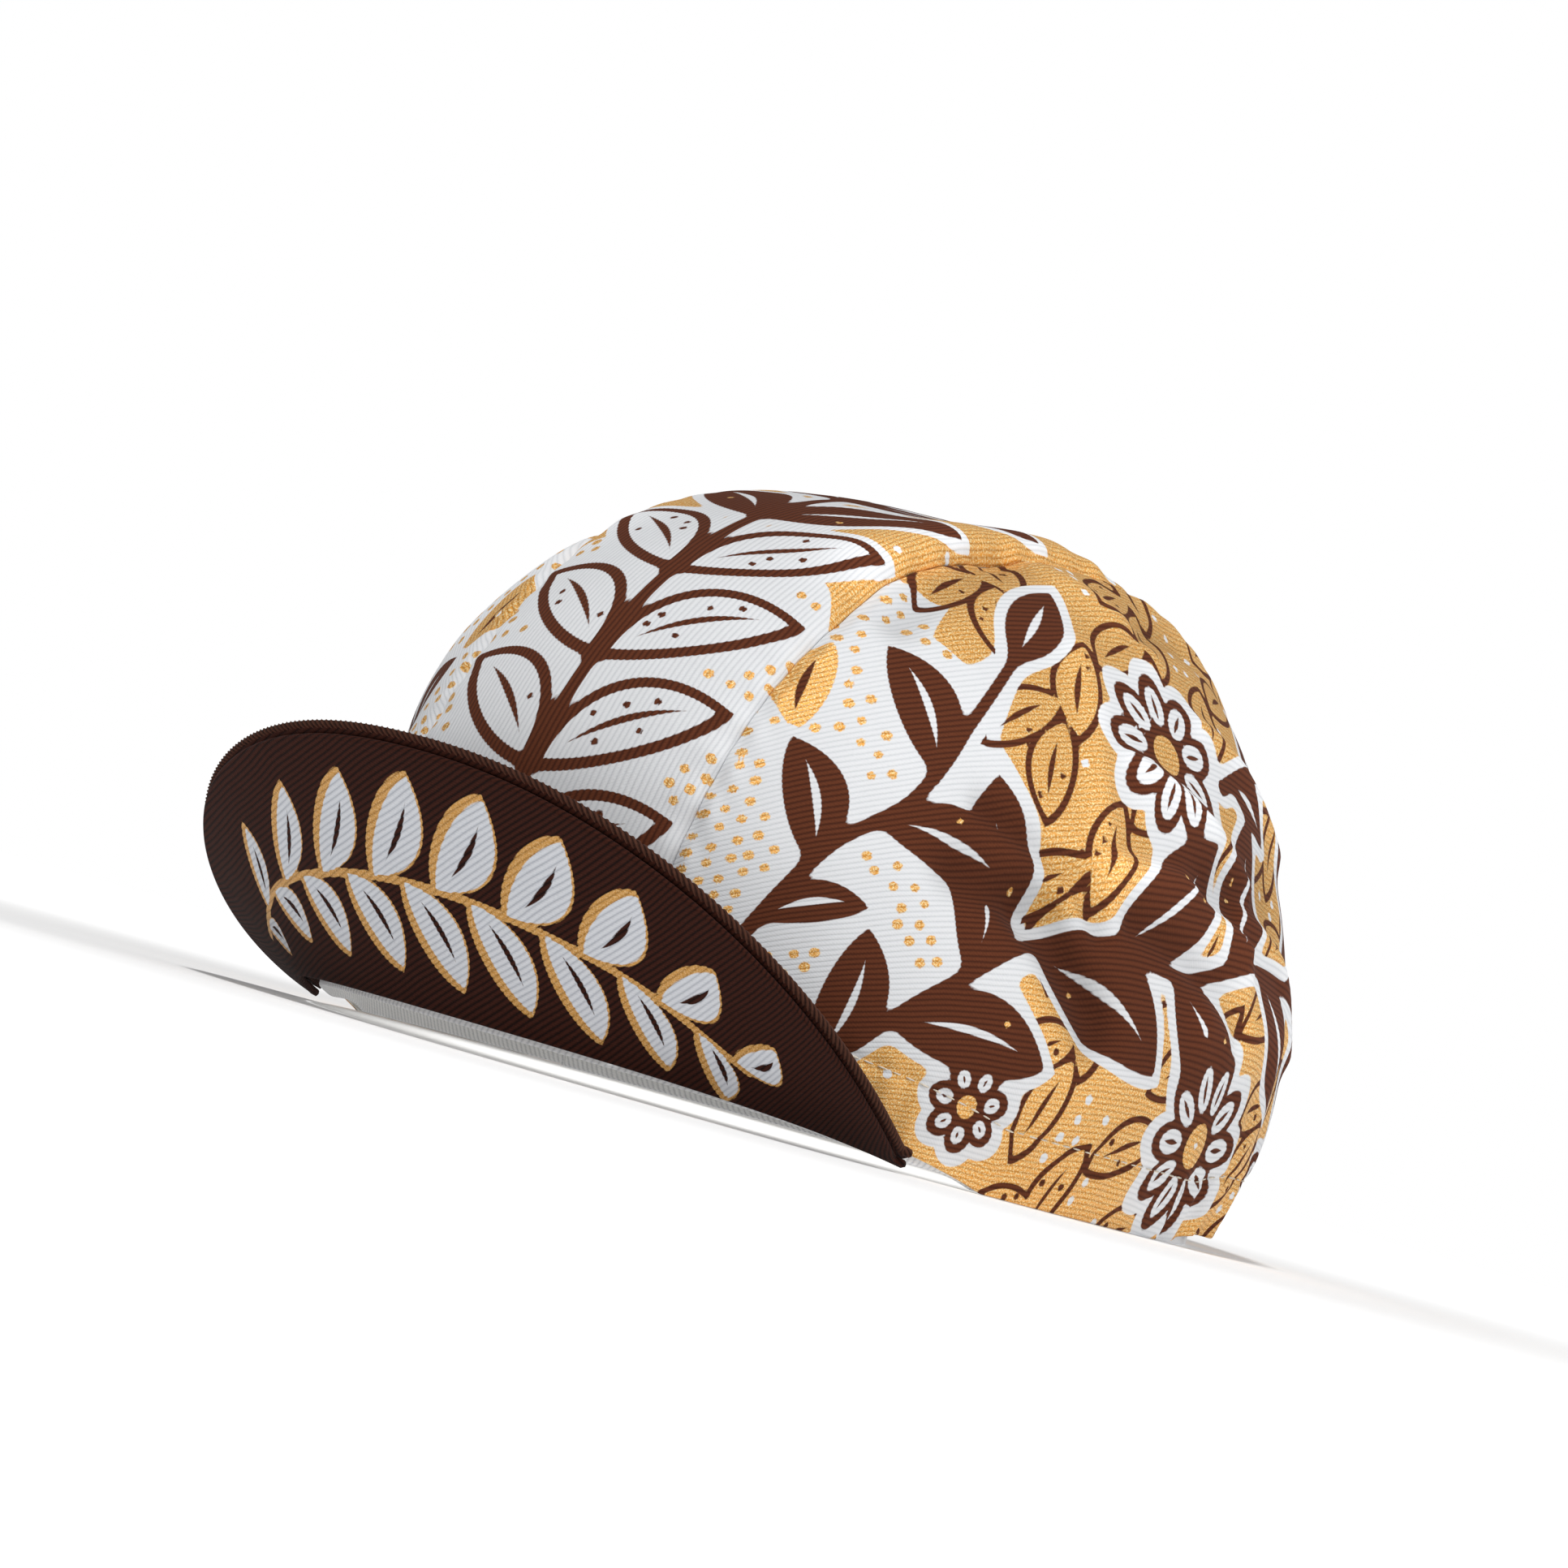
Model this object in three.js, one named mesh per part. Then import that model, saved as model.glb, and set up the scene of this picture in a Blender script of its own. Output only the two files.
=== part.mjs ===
// A cotton twill cycling cap with its short peak turned up: three crown panels, a peak of two covers,
// a white band inside the hem and an elastic behind. It stands on its hem.
// Millimetres, +Z up, the peak towards -Y and the wearer's left towards +X. Azimuth 0 is the front
// and 90 the wearer's left. Elevation is the angle above the plane of the hem. Both are seen from
// the middle of the opening, and the crown is one surface that has a point for each such direction.
import * as THREE from "three";
import { mergeVertices } from "three/addons/utils/BufferGeometryUtils.js";

// Driving dimensions, in millimetres and degrees.
const opening = { halfLength: 95, halfWidth: 80, centreY: 10 };
const crown = { height: 120.5, roundness: 2.47, rearLift: 8.9, topSag: 1.4 };
const swell = { front: 1.3, side: 6.2, rear: 13, elevation: 25.7, sharpness: 1.5 };
const hem = { frontRise: 6.4, frontEnd: 67, rearRise: 2.5, rearStart: 106, rearFull: 114 };
const gathers = { depth: 1.6, pitch: 10.7, start: 96, full: 112, reach: 13 };
const middlePanel = { halfWidth: 32, columns: 16 };
const sidePanel = { leftRows: 17, rightRows: 10, rowSpread: 1.2 };
const seam = { frontStations: 20, rearStations: 24, rearFrom: 96 };
const peak = { depth: 49.4, halfAngle: 54.4, lean: 32.7, endLean: 43.3, bluntness: 2.3, taper: 1.1 };
const peakCover = { cloth: 1.3, overlap: 1.6, endDepth: 2, standOff: 0.5, columns: 28, rows: 6 };
const band = { cloth: 1, halfAngle: 112, height: 20, columns: 48 };
const bandDrop = { depth: 2.4, start: 50, end: 64 };
const elastic = { cloth: 1, start: 112.3, height: 15, columns: 36 };
const stripRows = 3;
const stripClearance = 0.5;
const cloth = 1.2;
const gap = 0.3;

// Soft folds of the worn cloth: a line between two directions, with the width and the height of its
// swelling. A height below zero is a dent.
const folds = [
  { from: [52, 33], to: [63, 32], width: 5, height: -2.6 },
  { from: [63, 32], to: [76, 21.5], width: 5.5, height: -3.4 },
  { from: [72, 37.5], to: [107, 31], width: 4.5, height: 1.8 },
  { from: [72.5, 60], to: [73, 42], width: 4, height: 1.5 },
  { from: [83, 47], to: [98, 43], width: 4, height: 1.2 },
  { from: [28, 63], to: [102, 78], width: 7.5, height: 2.8 },
  { from: [37, 57], to: [62, 71.5], width: 4, height: -2.2 },
  { from: [60, 82], to: [150, 76], width: 12, height: -1.2 },
  { from: [80, 69], to: [95, 63], width: 5, height: 2 },
  { from: [98, 25], to: [122, 24], width: 8, height: 1.7 },
  { from: [98, 39.5], to: [122, 39], width: 7, height: -1.8 },
  { from: [-34, 55], to: [-38, 45], width: 9, height: 1.2 },
  { from: [-36, 31], to: [-74, 24], width: 9, height: -3 },
  { from: [-80, 36], to: [-108, 30], width: 5, height: 1.5 },
  { from: [-30, 62], to: [-100, 77], width: 7.5, height: 1.4 },
  { from: [-38, 60], to: [-62, 72], width: 4, height: -1.3 },
  { from: [-98, 25], to: [-122, 24], width: 8, height: 1.5 },
  { from: [150, 48], to: [-155, 44], width: 9, height: -1.5 },
];
const foldRadius = 100;
const foldStart = 8;

// How near two points are taken as one, and the step between the points that give a normal.
const weld = 1e-3;
const normalStep = 0.004;

const radians = THREE.MathUtils.degToRad;
const degrees = THREE.MathUtils.radToDeg;
const smoothstep = THREE.MathUtils.smoothstep;

// The unit vector at an azimuth and an elevation, both in degrees.
function directionAt(azimuth, elevation) {
  const a = radians(azimuth);
  const e = radians(elevation);
  return new THREE.Vector3(Math.sin(a) * Math.cos(e), -Math.cos(a) * Math.cos(e), Math.sin(e));
}

const foldLines = folds.map((fold) => {
  const line = new THREE.Line3(directionAt(...fold.from), directionAt(...fold.to));
  return { ...fold, line };
});

// How far the folds lift the cloth at a direction. They end above the hem, which the band holds.
function foldHeight(direction) {
  const nearest = new THREE.Vector3();
  let height = 0;
  for (const fold of foldLines) {
    fold.line.closestPointToPoint(direction, true, nearest);
    const distance = nearest.distanceTo(direction) * foldRadius;
    height += fold.height * Math.exp(-((distance / fold.width) ** 2));
  }
  return height * Math.min(1, degrees(Math.asin(direction.z)) / foldStart);
}

// How far the hem lies above the floor at an azimuth: the turned-up peak arches the front, and the
// elastic shows below the cloth at the rear.
function hemRise(azimuth) {
  const turn = Math.abs(azimuth);
  const front = hem.frontRise * Math.max(0, 1 - (turn / hem.frontEnd) ** 4);
  return front + hem.rearRise * smoothstep(turn, hem.rearStart, hem.rearFull);
}

// How far the gathers over the elastic push the cloth outwards.
function gatherHeight(azimuth, elevation) {
  const turn = Math.abs(azimuth);
  const wave = (1 - Math.cos(radians((360 * (turn - gathers.start)) / gathers.pitch))) / 2;
  const fade = Math.exp(-((elevation / gathers.reach) ** 2));
  return gathers.depth * wave * fade * smoothstep(turn, gathers.start, gathers.full);
}

// The crown's outer surface at a direction, without its gathers.
function smoothPoint(towards) {
  const d = towards.clone();
  d.z = Math.max(0, d.z);
  d.normalize();
  const azimuth = degrees(Math.atan2(d.x, -d.y));
  const elevation = degrees(Math.asin(d.z));
  const inPlan = Math.hypot(d.x / opening.halfWidth, d.y / opening.halfLength);
  const upright = d.z / crown.height;
  const r = crown.roundness;
  const reach = (inPlan ** r + upright ** r) ** (-1 / r);

  const forward = -Math.cos(radians(azimuth));
  const lengthways = forward < 0 ? swell.front : swell.rear;
  const widest = swell.side * (1 - forward ** 2) + lengthways * forward ** 2;
  const climb = elevation / swell.elevation;
  const rise = (climb * Math.exp(1 - climb)) ** swell.sharpness;
  const swelling = widest * rise * Math.cos(radians(elevation));

  const point = d.clone().multiplyScalar(reach + swelling + foldHeight(d));
  point.z += (crown.rearLift * point.y * d.z ** 2) / opening.halfLength - crown.topSag * d.z ** 6;
  point.z += hemRise(azimuth) * (1 - d.z) ** 3;
  return point;
}

// The crown's outer surface at a direction, gathered over the elastic.
function crownPoint(towards) {
  const flat = Math.hypot(towards.x, towards.y);
  const azimuth = degrees(Math.atan2(towards.x, -towards.y));
  const elevation = degrees(Math.atan2(Math.max(0, towards.z), flat));
  return smoothPoint(towards).addScaledVector(towards, gatherHeight(azimuth, elevation));
}

// The outward normal at a direction of one of the two surfaces above.
function surfaceNormal(surface, towards) {
  const around = new THREE.Vector3(-towards.y, towards.x, 0).normalize();
  const upwards = new THREE.Vector3().crossVectors(towards, around).normalize();
  if (upwards.z < 0) upwards.negate();
  const ahead = surface(towards.clone().addScaledVector(around, normalStep));
  const behind = surface(towards.clone().addScaledVector(around, -normalStep));
  const above = surface(towards.clone().addScaledVector(upwards, normalStep));
  const below = surface(towards);
  const normal = new THREE.Vector3().crossVectors(ahead.sub(behind), above.sub(below)).normalize();
  return normal.dot(towards) < 0 ? normal.negate() : normal;
}

// The direction of the seam beside the middle panel, with share 0 at the front and 1 at the rear.
// Side is 1 on the wearer's left and -1 on the right.
function seamDirection(share, side) {
  const across = middlePanel.halfWidth / opening.halfWidth;
  const r = crown.roundness;
  const rise = (1 - across ** r) ** (1 / r) * Math.sin(Math.PI * share);
  const lengthways = Math.sqrt(Math.max(0, (1 - rise ** r) ** (2 / r) - across ** 2));
  const y = opening.halfLength * lengthways * (share < 0.5 ? -1 : 1);
  return new THREE.Vector3(side * middlePanel.halfWidth, y, crown.height * rise).normalize();
}

// Where the seam meets the hem at the front, in degrees of azimuth.
const seamFoot = seamDirection(0, 1);
const seamAzimuth = degrees(Math.atan2(seamFoot.x, -seamFoot.y));

// The shares of the way from front to rear at which both sides of a seam have their points. They
// are closer together behind, where the cloth is gathered.
function seamStations() {
  const span = 180 - 2 * seamAzimuth;
  const middle = (seam.rearFrom - seamAzimuth) / span;
  const front = seam.frontStations;
  const rear = seam.rearStations;
  const shares = [];
  for (let i = 0; i < front; i++) shares.push((middle * i) / front);
  for (let i = 0; i <= rear; i++) shares.push(middle + ((1 - middle) * i) / rear);
  return shares;
}

// One closed wall between an outer and an inner grid of points, each a list of columns.
function closedWall(outer, inner) {
  const columns = outer.length;
  const rows = outer[0].length;
  const positions = [outer, inner].flat(2).flatMap((p) => p.toArray());
  const at = (face, i, j) => (face * columns + i) * rows + j;
  const triangles = [];
  const quad = (a, b, c, d) => triangles.push([a, b, c], [a, c, d]);
  for (let i = 0; i + 1 < columns; i++) {
    for (let j = 0; j + 1 < rows; j++) {
      quad(at(0, i, j), at(0, i + 1, j), at(0, i + 1, j + 1), at(0, i, j + 1));
      quad(at(1, i, j), at(1, i, j + 1), at(1, i + 1, j + 1), at(1, i + 1, j));
    }
    quad(at(0, i, 0), at(1, i, 0), at(1, i + 1, 0), at(0, i + 1, 0));
    quad(at(0, i, rows - 1), at(0, i + 1, rows - 1), at(1, i + 1, rows - 1), at(1, i, rows - 1));
  }
  const last = columns - 1;
  for (let j = 0; j + 1 < rows; j++) {
    quad(at(0, 0, j), at(0, 0, j + 1), at(1, 0, j + 1), at(1, 0, j));
    quad(at(0, last, j), at(1, last, j), at(1, last, j + 1), at(0, last, j + 1));
  }
  const loose = new THREE.BufferGeometry();
  loose.setAttribute("position", new THREE.Float32BufferAttribute(positions, 3));
  loose.setIndex(triangles.flat());
  return facingOut(mergeVertices(loose, weld));
}

// The geometry without collapsed triangles, and turned round if it was inside out.
function facingOut(geometry) {
  const position = geometry.getAttribute("position");
  const corner = (k) => new THREE.Vector3().fromBufferAttribute(position, k);
  const old = [...geometry.index.array];
  const kept = [];
  let volume = 0;
  for (let i = 0; i < old.length; i += 3) {
    const [a, b, c] = old.slice(i, i + 3);
    if (a === b || b === c || c === a) continue;
    kept.push([a, b, c]);
    volume += corner(a).dot(corner(b).cross(corner(c)));
  }
  geometry.setIndex((volume < 0 ? kept.map((t) => t.reverse()) : kept).flat());
  geometry.computeVertexNormals();
  return geometry;
}

// The wall of cloth under a grid of directions. Its lower edge stays level.
function crownWall(directions) {
  const outer = directions.map((column) => column.map(crownPoint));
  const inner = directions.map((column, i) =>
    column.map((direction, j) => {
      const point = outer[i][j].clone().addScaledVector(surfaceNormal(crownPoint, direction), -cloth);
      if (direction.z < weld) point.z = outer[i][j].z;
      return point;
    }),
  );
  return closedWall(outer, inner);
}

// The middle panel runs from the front hem over the top to the rear hem.
function middlePanelWall() {
  const edge = 1 - gap / 2 / middlePanel.halfWidth;
  const count = middlePanel.columns;
  const directions = [];
  for (let i = 0; i <= count; i++) {
    const across = (edge * ((2 * i) / count - 1) + 1) / 2;
    const column = seamStations().map((share) =>
      seamDirection(share, -1).lerp(seamDirection(share, 1), across).normalize(),
    );
    directions.push(column);
  }
  return crownWall(directions);
}

// A side panel runs from the hem up to the seam.
function sidePanelWall(side, rows) {
  const span = 180 - 2 * seamAzimuth;
  const directions = seamStations().map((share) => {
    const low = directionAt(side * (seamAzimuth + span * share), 0);
    const high = seamDirection(share, side);
    const length = crownPoint(low).distanceTo(crownPoint(high));
    const top = length > gap ? 1 - gap / 2 / length : 1;
    const column = [];
    for (let j = 0; j <= rows; j++) {
      const up = top * (j / rows) ** sidePanel.rowSpread;
      column.push(low.clone().lerp(high, up).normalize());
    }
    return column;
  });
  return crownWall(directions);
}

// A point of the turned-up peak: along runs from -1 to 1 across the front, height is measured up the
// cover from its fold, and out is the distance from the crown's side of the peak.
function peakPoint(along, height, out) {
  const azimuth = along * peak.halfAngle;
  const foot = crownPoint(directionAt(azimuth, 0));
  const level = new THREE.Vector3(foot.x / opening.halfWidth ** 2, foot.y / opening.halfLength ** 2, 0);
  level.normalize();
  const lean = radians(peak.lean + peak.endLean * along ** 2);
  const up = level.clone().multiplyScalar(Math.sin(lean)).setZ(Math.cos(lean));
  const face = level.clone().multiplyScalar(Math.cos(lean)).setZ(-Math.sin(lean));
  foot.addScaledVector(level, peakCover.standOff);
  return foot.addScaledVector(up, height).addScaledVector(face, out);
}

// One cover of the peak, from an inner to an outer distance, with its edge past the peak's outline.
function peakCoverWall(from, to, overlap) {
  const face = (out) => {
    const columns = [];
    for (let i = 0; i <= peakCover.columns; i++) {
      const along = (2 * i) / peakCover.columns - 1;
      const outline = peak.depth * (1 - Math.abs(along) ** peak.bluntness) ** peak.taper;
      const depth = Math.max(outline, peakCover.endDepth) + overlap;
      const column = [];
      for (let j = 0; j <= peakCover.rows; j++) {
        column.push(peakPoint(along, (depth * j) / peakCover.rows, out));
      }
      columns.push(column);
    }
    return columns;
  };
  return closedWall(face(to), face(from));
}

// A strip inside the hem, from one azimuth to another, with its lower edge given for each azimuth.
function stripWall(strip, start, end, bottomAt) {
  const face = (inset) => {
    const points = [];
    for (let i = 0; i <= strip.columns; i++) {
      const azimuth = start + ((end - start) * i) / strip.columns;
      const foot = smoothPoint(directionAt(azimuth, 0));
      const bottom = bottomAt(azimuth);
      const column = [];
      for (let j = 0; j <= stripRows; j++) {
        const z = bottom + (strip.height * j) / stripRows;
        const elevation = degrees(Math.atan2(Math.max(0, z - foot.z), Math.hypot(foot.x, foot.y)));
        const direction = directionAt(azimuth, elevation);
        const outwards = surfaceNormal(smoothPoint, direction).setZ(0).normalize();
        column.push(smoothPoint(direction).addScaledVector(outwards, -inset).setZ(z));
      }
      points.push(column);
    }
    return points;
  };
  const inset = cloth + stripClearance;
  return closedWall(face(inset), face(inset + strip.cloth));
}

// The lower edge of the band: it shows below the fold of the peak.
function bandBottom(azimuth) {
  const drop = bandDrop.depth * (1 - smoothstep(Math.abs(azimuth), bandDrop.start, bandDrop.end));
  return Math.max(gap, hemRise(azimuth) - drop);
}

// The printed cloth, the plain cloth and the white of the band.
const ochre = new THREE.MeshStandardMaterial({ color: 0xd9a45c, roughness: 0.75, metalness: 0 });
const brown = new THREE.MeshStandardMaterial({ color: 0x4a2a20, roughness: 0.85, metalness: 0 });
const white = new THREE.MeshStandardMaterial({ color: 0xe4e4e7, roughness: 0.85, metalness: 0 });

const cap = new THREE.Group();
function add(name, geometry, material) {
  const mesh = new THREE.Mesh(geometry, material);
  mesh.name = name;
  cap.add(mesh);
}

add("middle_panel", middlePanelWall(), white);
add("left_panel", sidePanelWall(1, sidePanel.leftRows), ochre);
add("right_panel", sidePanelWall(-1, sidePanel.rightRows), ochre);
add("peak_top_cover", peakCoverWall(0, peakCover.cloth, peakCover.overlap), brown);
add("peak_under_cover", peakCoverWall(peakCover.cloth + gap, 2 * peakCover.cloth + gap, 0), brown);
add("inner_band", stripWall(band, -band.halfAngle, band.halfAngle, bandBottom), white);
add("rear_elastic", stripWall(elastic, elastic.start, 360 - elastic.start, () => 0), white);
cap.position.y = opening.centreY;

export default cap;
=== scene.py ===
"""A cotton twill cycling cap with its short peak turned up, printed in ochre and brown on white cloth."""

import math

import bpy
import numpy as np
from mathutils import Matrix, Vector
from mathutils.kdtree import KDTree


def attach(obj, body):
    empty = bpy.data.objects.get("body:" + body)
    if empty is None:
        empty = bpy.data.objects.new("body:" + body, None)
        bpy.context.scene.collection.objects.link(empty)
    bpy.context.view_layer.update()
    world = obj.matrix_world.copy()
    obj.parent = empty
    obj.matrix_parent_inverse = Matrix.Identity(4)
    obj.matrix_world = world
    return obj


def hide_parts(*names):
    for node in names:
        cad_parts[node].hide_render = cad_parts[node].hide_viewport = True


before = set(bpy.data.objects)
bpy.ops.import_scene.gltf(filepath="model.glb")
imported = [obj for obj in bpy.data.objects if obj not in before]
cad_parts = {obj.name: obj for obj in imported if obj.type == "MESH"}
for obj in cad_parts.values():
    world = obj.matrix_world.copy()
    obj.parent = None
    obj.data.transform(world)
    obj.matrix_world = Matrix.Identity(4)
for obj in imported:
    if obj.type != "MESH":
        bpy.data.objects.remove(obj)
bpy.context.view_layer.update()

# Shapes are worked out in millimetres and degrees, as the frame's own pieces were, and go to metres
# when a mesh is made. The peak points to -Y and the wearer's left is +X. Azimuth 0 is the front.
MM = 0.001

# The crown is one surface with a point for each direction from the middle of the opening.
OPENING = {"half_length": 95, "half_width": 80, "centre_y": 10}
CROWN = {"height": 120.5, "roundness": 2.47, "rear_lift": 8.9, "top_sag": 1.4}
SWELL = {"front": 1.3, "side": 6.2, "rear": 13, "elevation": 25.7, "sharpness": 1.5}
HEM = {"front_rise": 6.4, "front_end": 67, "rear_rise": 2.5, "rear_start": 106, "rear_full": 114}
GATHERS = {"start": 96, "full": 112}
GATHER_WAVES = [
    {"depth": 1.9, "pitch": 10.7, "reach": 17, "drift": 0},
    {"depth": 1.4, "pitch": 5.4, "reach": 11, "drift": 2.2},
    {"depth": 0.4, "pitch": 4.1, "reach": 7, "drift": -1.4},
]
MIDDLE_HALF_WIDTH = 32
MIDDLE_LENGTH = 330
CLOTH = 1.2

# Soft folds of the worn cloth: a line between two directions (azimuth, elevation), with the width
# and the height of its swelling. A height below zero is a dent.
FOLDS = [
    {"from": (52, 33), "to": (63, 32), "width": 5, "height": -2.6},
    {"from": (63, 32), "to": (76, 21.5), "width": 5.5, "height": -3.4},
    {"from": (72, 37.5), "to": (107, 31), "width": 4.5, "height": 1.8},
    {"from": (72.5, 60), "to": (73, 42), "width": 4, "height": 1.5},
    {"from": (83, 47), "to": (98, 43), "width": 4, "height": 1.2},
    {"from": (28, 63), "to": (102, 78), "width": 7.5, "height": 2.8},
    {"from": (37, 57), "to": (62, 71.5), "width": 4, "height": -2.2},
    {"from": (60, 82), "to": (150, 76), "width": 12, "height": -1.2},
    {"from": (80, 69), "to": (95, 63), "width": 5, "height": 2},
    {"from": (98, 25), "to": (122, 24), "width": 8, "height": 1.7},
    {"from": (98, 39.5), "to": (122, 39), "width": 7, "height": -1.8},
    {"from": (-34, 55), "to": (-38, 45), "width": 9, "height": 1.2},
    {"from": (-36, 31), "to": (-74, 24), "width": 9, "height": -3},
    {"from": (-80, 36), "to": (-108, 30), "width": 5, "height": 1.5},
    {"from": (-30, 62), "to": (-100, 77), "width": 7.5, "height": 1.4},
    {"from": (-38, 60), "to": (-62, 72), "width": 4, "height": -1.3},
    {"from": (-98, 25), "to": (-122, 24), "width": 8, "height": 1.5},
    {"from": (150, 48), "to": (-155, 44), "width": 9, "height": -1.5},
]

# Widths of folds are measured on a ball of this radius. Folds fade out below this elevation.
FOLD_RADIUS = 100
FOLD_START = 8

# Finer creases that only the cloth's surface has: paths of directions on the wearer's left. The
# right has them too, moved by a few degrees.
CREASES = [
    {"path": [(54, 40.5), (63.5, 38.2), (69, 37), (74, 32)], "width": 2.8, "height": -2},
    {"path": [(66, 33.5), (70, 28), (76, 24)], "width": 3, "height": -1.2},
    {"path": [(80, 49.5), (95, 46.5), (112, 40)], "width": 2.6, "height": 1.9},
    {"path": [(75.5, 38.5), (90, 38.5), (106, 33.5)], "width": 2.8, "height": 2.1},
    {"path": [(80, 34), (92, 31.5), (106, 25)], "width": 3.4, "height": -1.8},
    {"path": [(104, 55), (118, 51), (133, 42)], "width": 3, "height": 1.8},
    {"path": [(108, 37), (122, 32), (134, 22)], "width": 3, "height": 1.7},
    {"path": [(92, 63), (108, 66), (126, 63)], "width": 3, "height": -1.5},
    {"path": [(116, 74), (132, 66), (146, 55)], "width": 4, "height": 1.5},
    {"path": [(138, 40), (150, 33), (160, 24)], "width": 4, "height": -1.5},
    {"path": [(150, 62), (163, 52), (170, 40)], "width": 5, "height": 1.4},
]
CREASES_ON_RIGHT = {"turn": 6, "climb": -3}

# How far from its middle a crease starts to fade, and where it is gone, in radii of that ball.
CREASE_FADE = (0.3, 1.3)

# The seams and the line of stitches above the hem pull the cloth in a little, and it puckers beside
# them. A tuck follows the seams at the top.
SEAM = {"dip": 0.8, "dip_width": 1.7, "pucker": 0.22, "pucker_width": 6, "pucker_pitch": 8.5}
TUCK = {"depth": 1.5, "width": 2.4, "middle": 132, "length": 44}
STITCH_LINE = {"height": 12, "dip": 0.35, "width": 1.2}
STITCH_PUCKER = {"depth": 0.16, "pitch": 6.2, "full_from": 4, "end": 17}

# The stitches, and how far the middle of their thread lies above the dip in the cloth.
STITCH = {"Pitch": 2.8, "Length": 1.9, "Thickness": 0.34}
STITCH_LIFT = 0.102

# The rolled edge of the peak's top cover, which its ribs make look twisted like a rope.
ROLL = {"Radius": 0.86, "Groove": 0.66, "Twist": 5.2, "Step": 0.26}
ROLL_STRANDS = 4

PEAK = {"depth": 49.4, "half_angle": 54.4, "lean": 32.7, "end_lean": 43.3, "bluntness": 2.3, "taper": 1.1}
COVER = {"cloth": 1.3, "gap": 0.3, "overlap": 1.6, "end_depth": 2, "stand_off": 0.5}
BAND = {"cloth": 1, "half_angle": 112, "height": 20, "clearance": 0.5}
BAND_DROP = {"depth": 2.4, "start": 50, "end": 64}
ELASTIC = {"cloth": 1, "start": 112.3, "height": 15}

# How far a rim bulges past the edge of its two faces, how many rings of points round it off, and
# how far the rims of two panels are pressed into each other where they are sewn together.
RIM_BULGE = 0.45
RIM_RINGS = 3
SEWN_PRESS = 0.07

# The photograph's view: round from the front, the height of the lens over the floor, the tilt of
# the picture, the distance, and the pixel that shows the point it looks at.
VIEW = {"azimuth": 37.07, "lens_height": 15, "roll": 15.66, "distance": 978, "target": (0, 10, 45)}
VIEW_PIXEL = (1011, 1100.5)
PICTURE = 1932
LENS = {"focal": 120, "sensor": 36}

# A distance in millimetres at which nothing drawn can be near.
FAR = 60.0


def linear(colour):
    """An sRGB hex colour as linear RGBA."""
    parts = [int(colour[i:i + 2], 16) / 255 for i in (1, 3, 5)]
    return [p / 12.92 if p <= 0.04045 else ((p + 0.055) / 1.055) ** 2.4 for p in parts] + [1.0]


def unit(vectors):
    return vectors / np.linalg.norm(vectors, axis=-1, keepdims=True)


def smoothstep(values, low, high):
    t = np.clip((values - low) / (high - low), 0, 1)
    return t * t * (3 - 2 * t)


def direction(azimuth, elevation):
    """Unit vectors at azimuths and elevations in degrees."""
    a, e = np.broadcast_arrays(np.radians(azimuth), np.radians(elevation))
    return np.stack([np.sin(a) * np.cos(e), -np.cos(a) * np.cos(e), np.sin(e)], axis=-1)


def angles(directions):
    """Azimuths and elevations in degrees of unit vectors."""
    azimuth = np.degrees(np.arctan2(directions[..., 0], -directions[..., 1]))
    return azimuth, np.degrees(np.arcsin(np.clip(directions[..., 2], 0, 1)))


def swelling_along(path, directions, size):
    """How far a fold or crease along a path of directions lifts the cloth."""
    nearest = np.inf
    for start, end in zip(path, path[1:]):
        run = end - start
        share = np.clip((directions - start) @ run / (run @ run), 0, 1)
        away = np.linalg.norm(directions - start - share[..., None] * run, axis=-1) * FOLD_RADIUS
        nearest = np.minimum(nearest, away)
    return size["height"] * np.exp(-((nearest / size["width"]) ** 2))


def worn_height(directions):
    """How far all folds and creases lift the cloth. They end above the hem, which the band holds."""
    height = np.zeros(directions.shape[:-1])
    for fold in FOLDS:
        height += swelling_along([direction(*fold["from"]), direction(*fold["to"])], directions, fold)
    right = CREASES_ON_RIGHT
    for side, turn, climb in ((1, 0, 0), (-1, right["turn"], right["climb"])):
        for crease in CREASES:
            path = [direction(side * (a + turn), e + climb) for a, e in crease["path"]]
            from_middle = np.linalg.norm(directions - (path[0] + path[-1]) / 2, axis=-1)
            height += swelling_along(path, directions, crease) * (1 - smoothstep(from_middle, *CREASE_FADE))
    return height * np.minimum(1, angles(directions)[1] / FOLD_START)


def hem_rise(azimuth):
    """How far the hem lies above the floor: over the turned-up peak, and over the elastic."""
    turn = np.abs(azimuth)
    front = HEM["front_rise"] * np.clip(1 - (turn / HEM["front_end"]) ** 4, 0, 1)
    return front + HEM["rear_rise"] * smoothstep(turn, HEM["rear_start"], HEM["rear_full"])


def gather_height(azimuth, elevation):
    """How far the gathers over the elastic push the cloth outwards."""
    turn = np.abs(azimuth)
    height = 0
    for wave in GATHER_WAVES:
        bend = wave["drift"] * np.sin(np.radians(azimuth * 3.7) + elevation / 9)
        ripple = (1 - np.cos(2 * np.pi * (turn - GATHERS["start"] + bend) / wave["pitch"])) / 2
        height = height + wave["depth"] * ripple * np.exp(-((elevation / wave["reach"]) ** 2))
    return height * smoothstep(turn, GATHERS["start"], GATHERS["full"])


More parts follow.
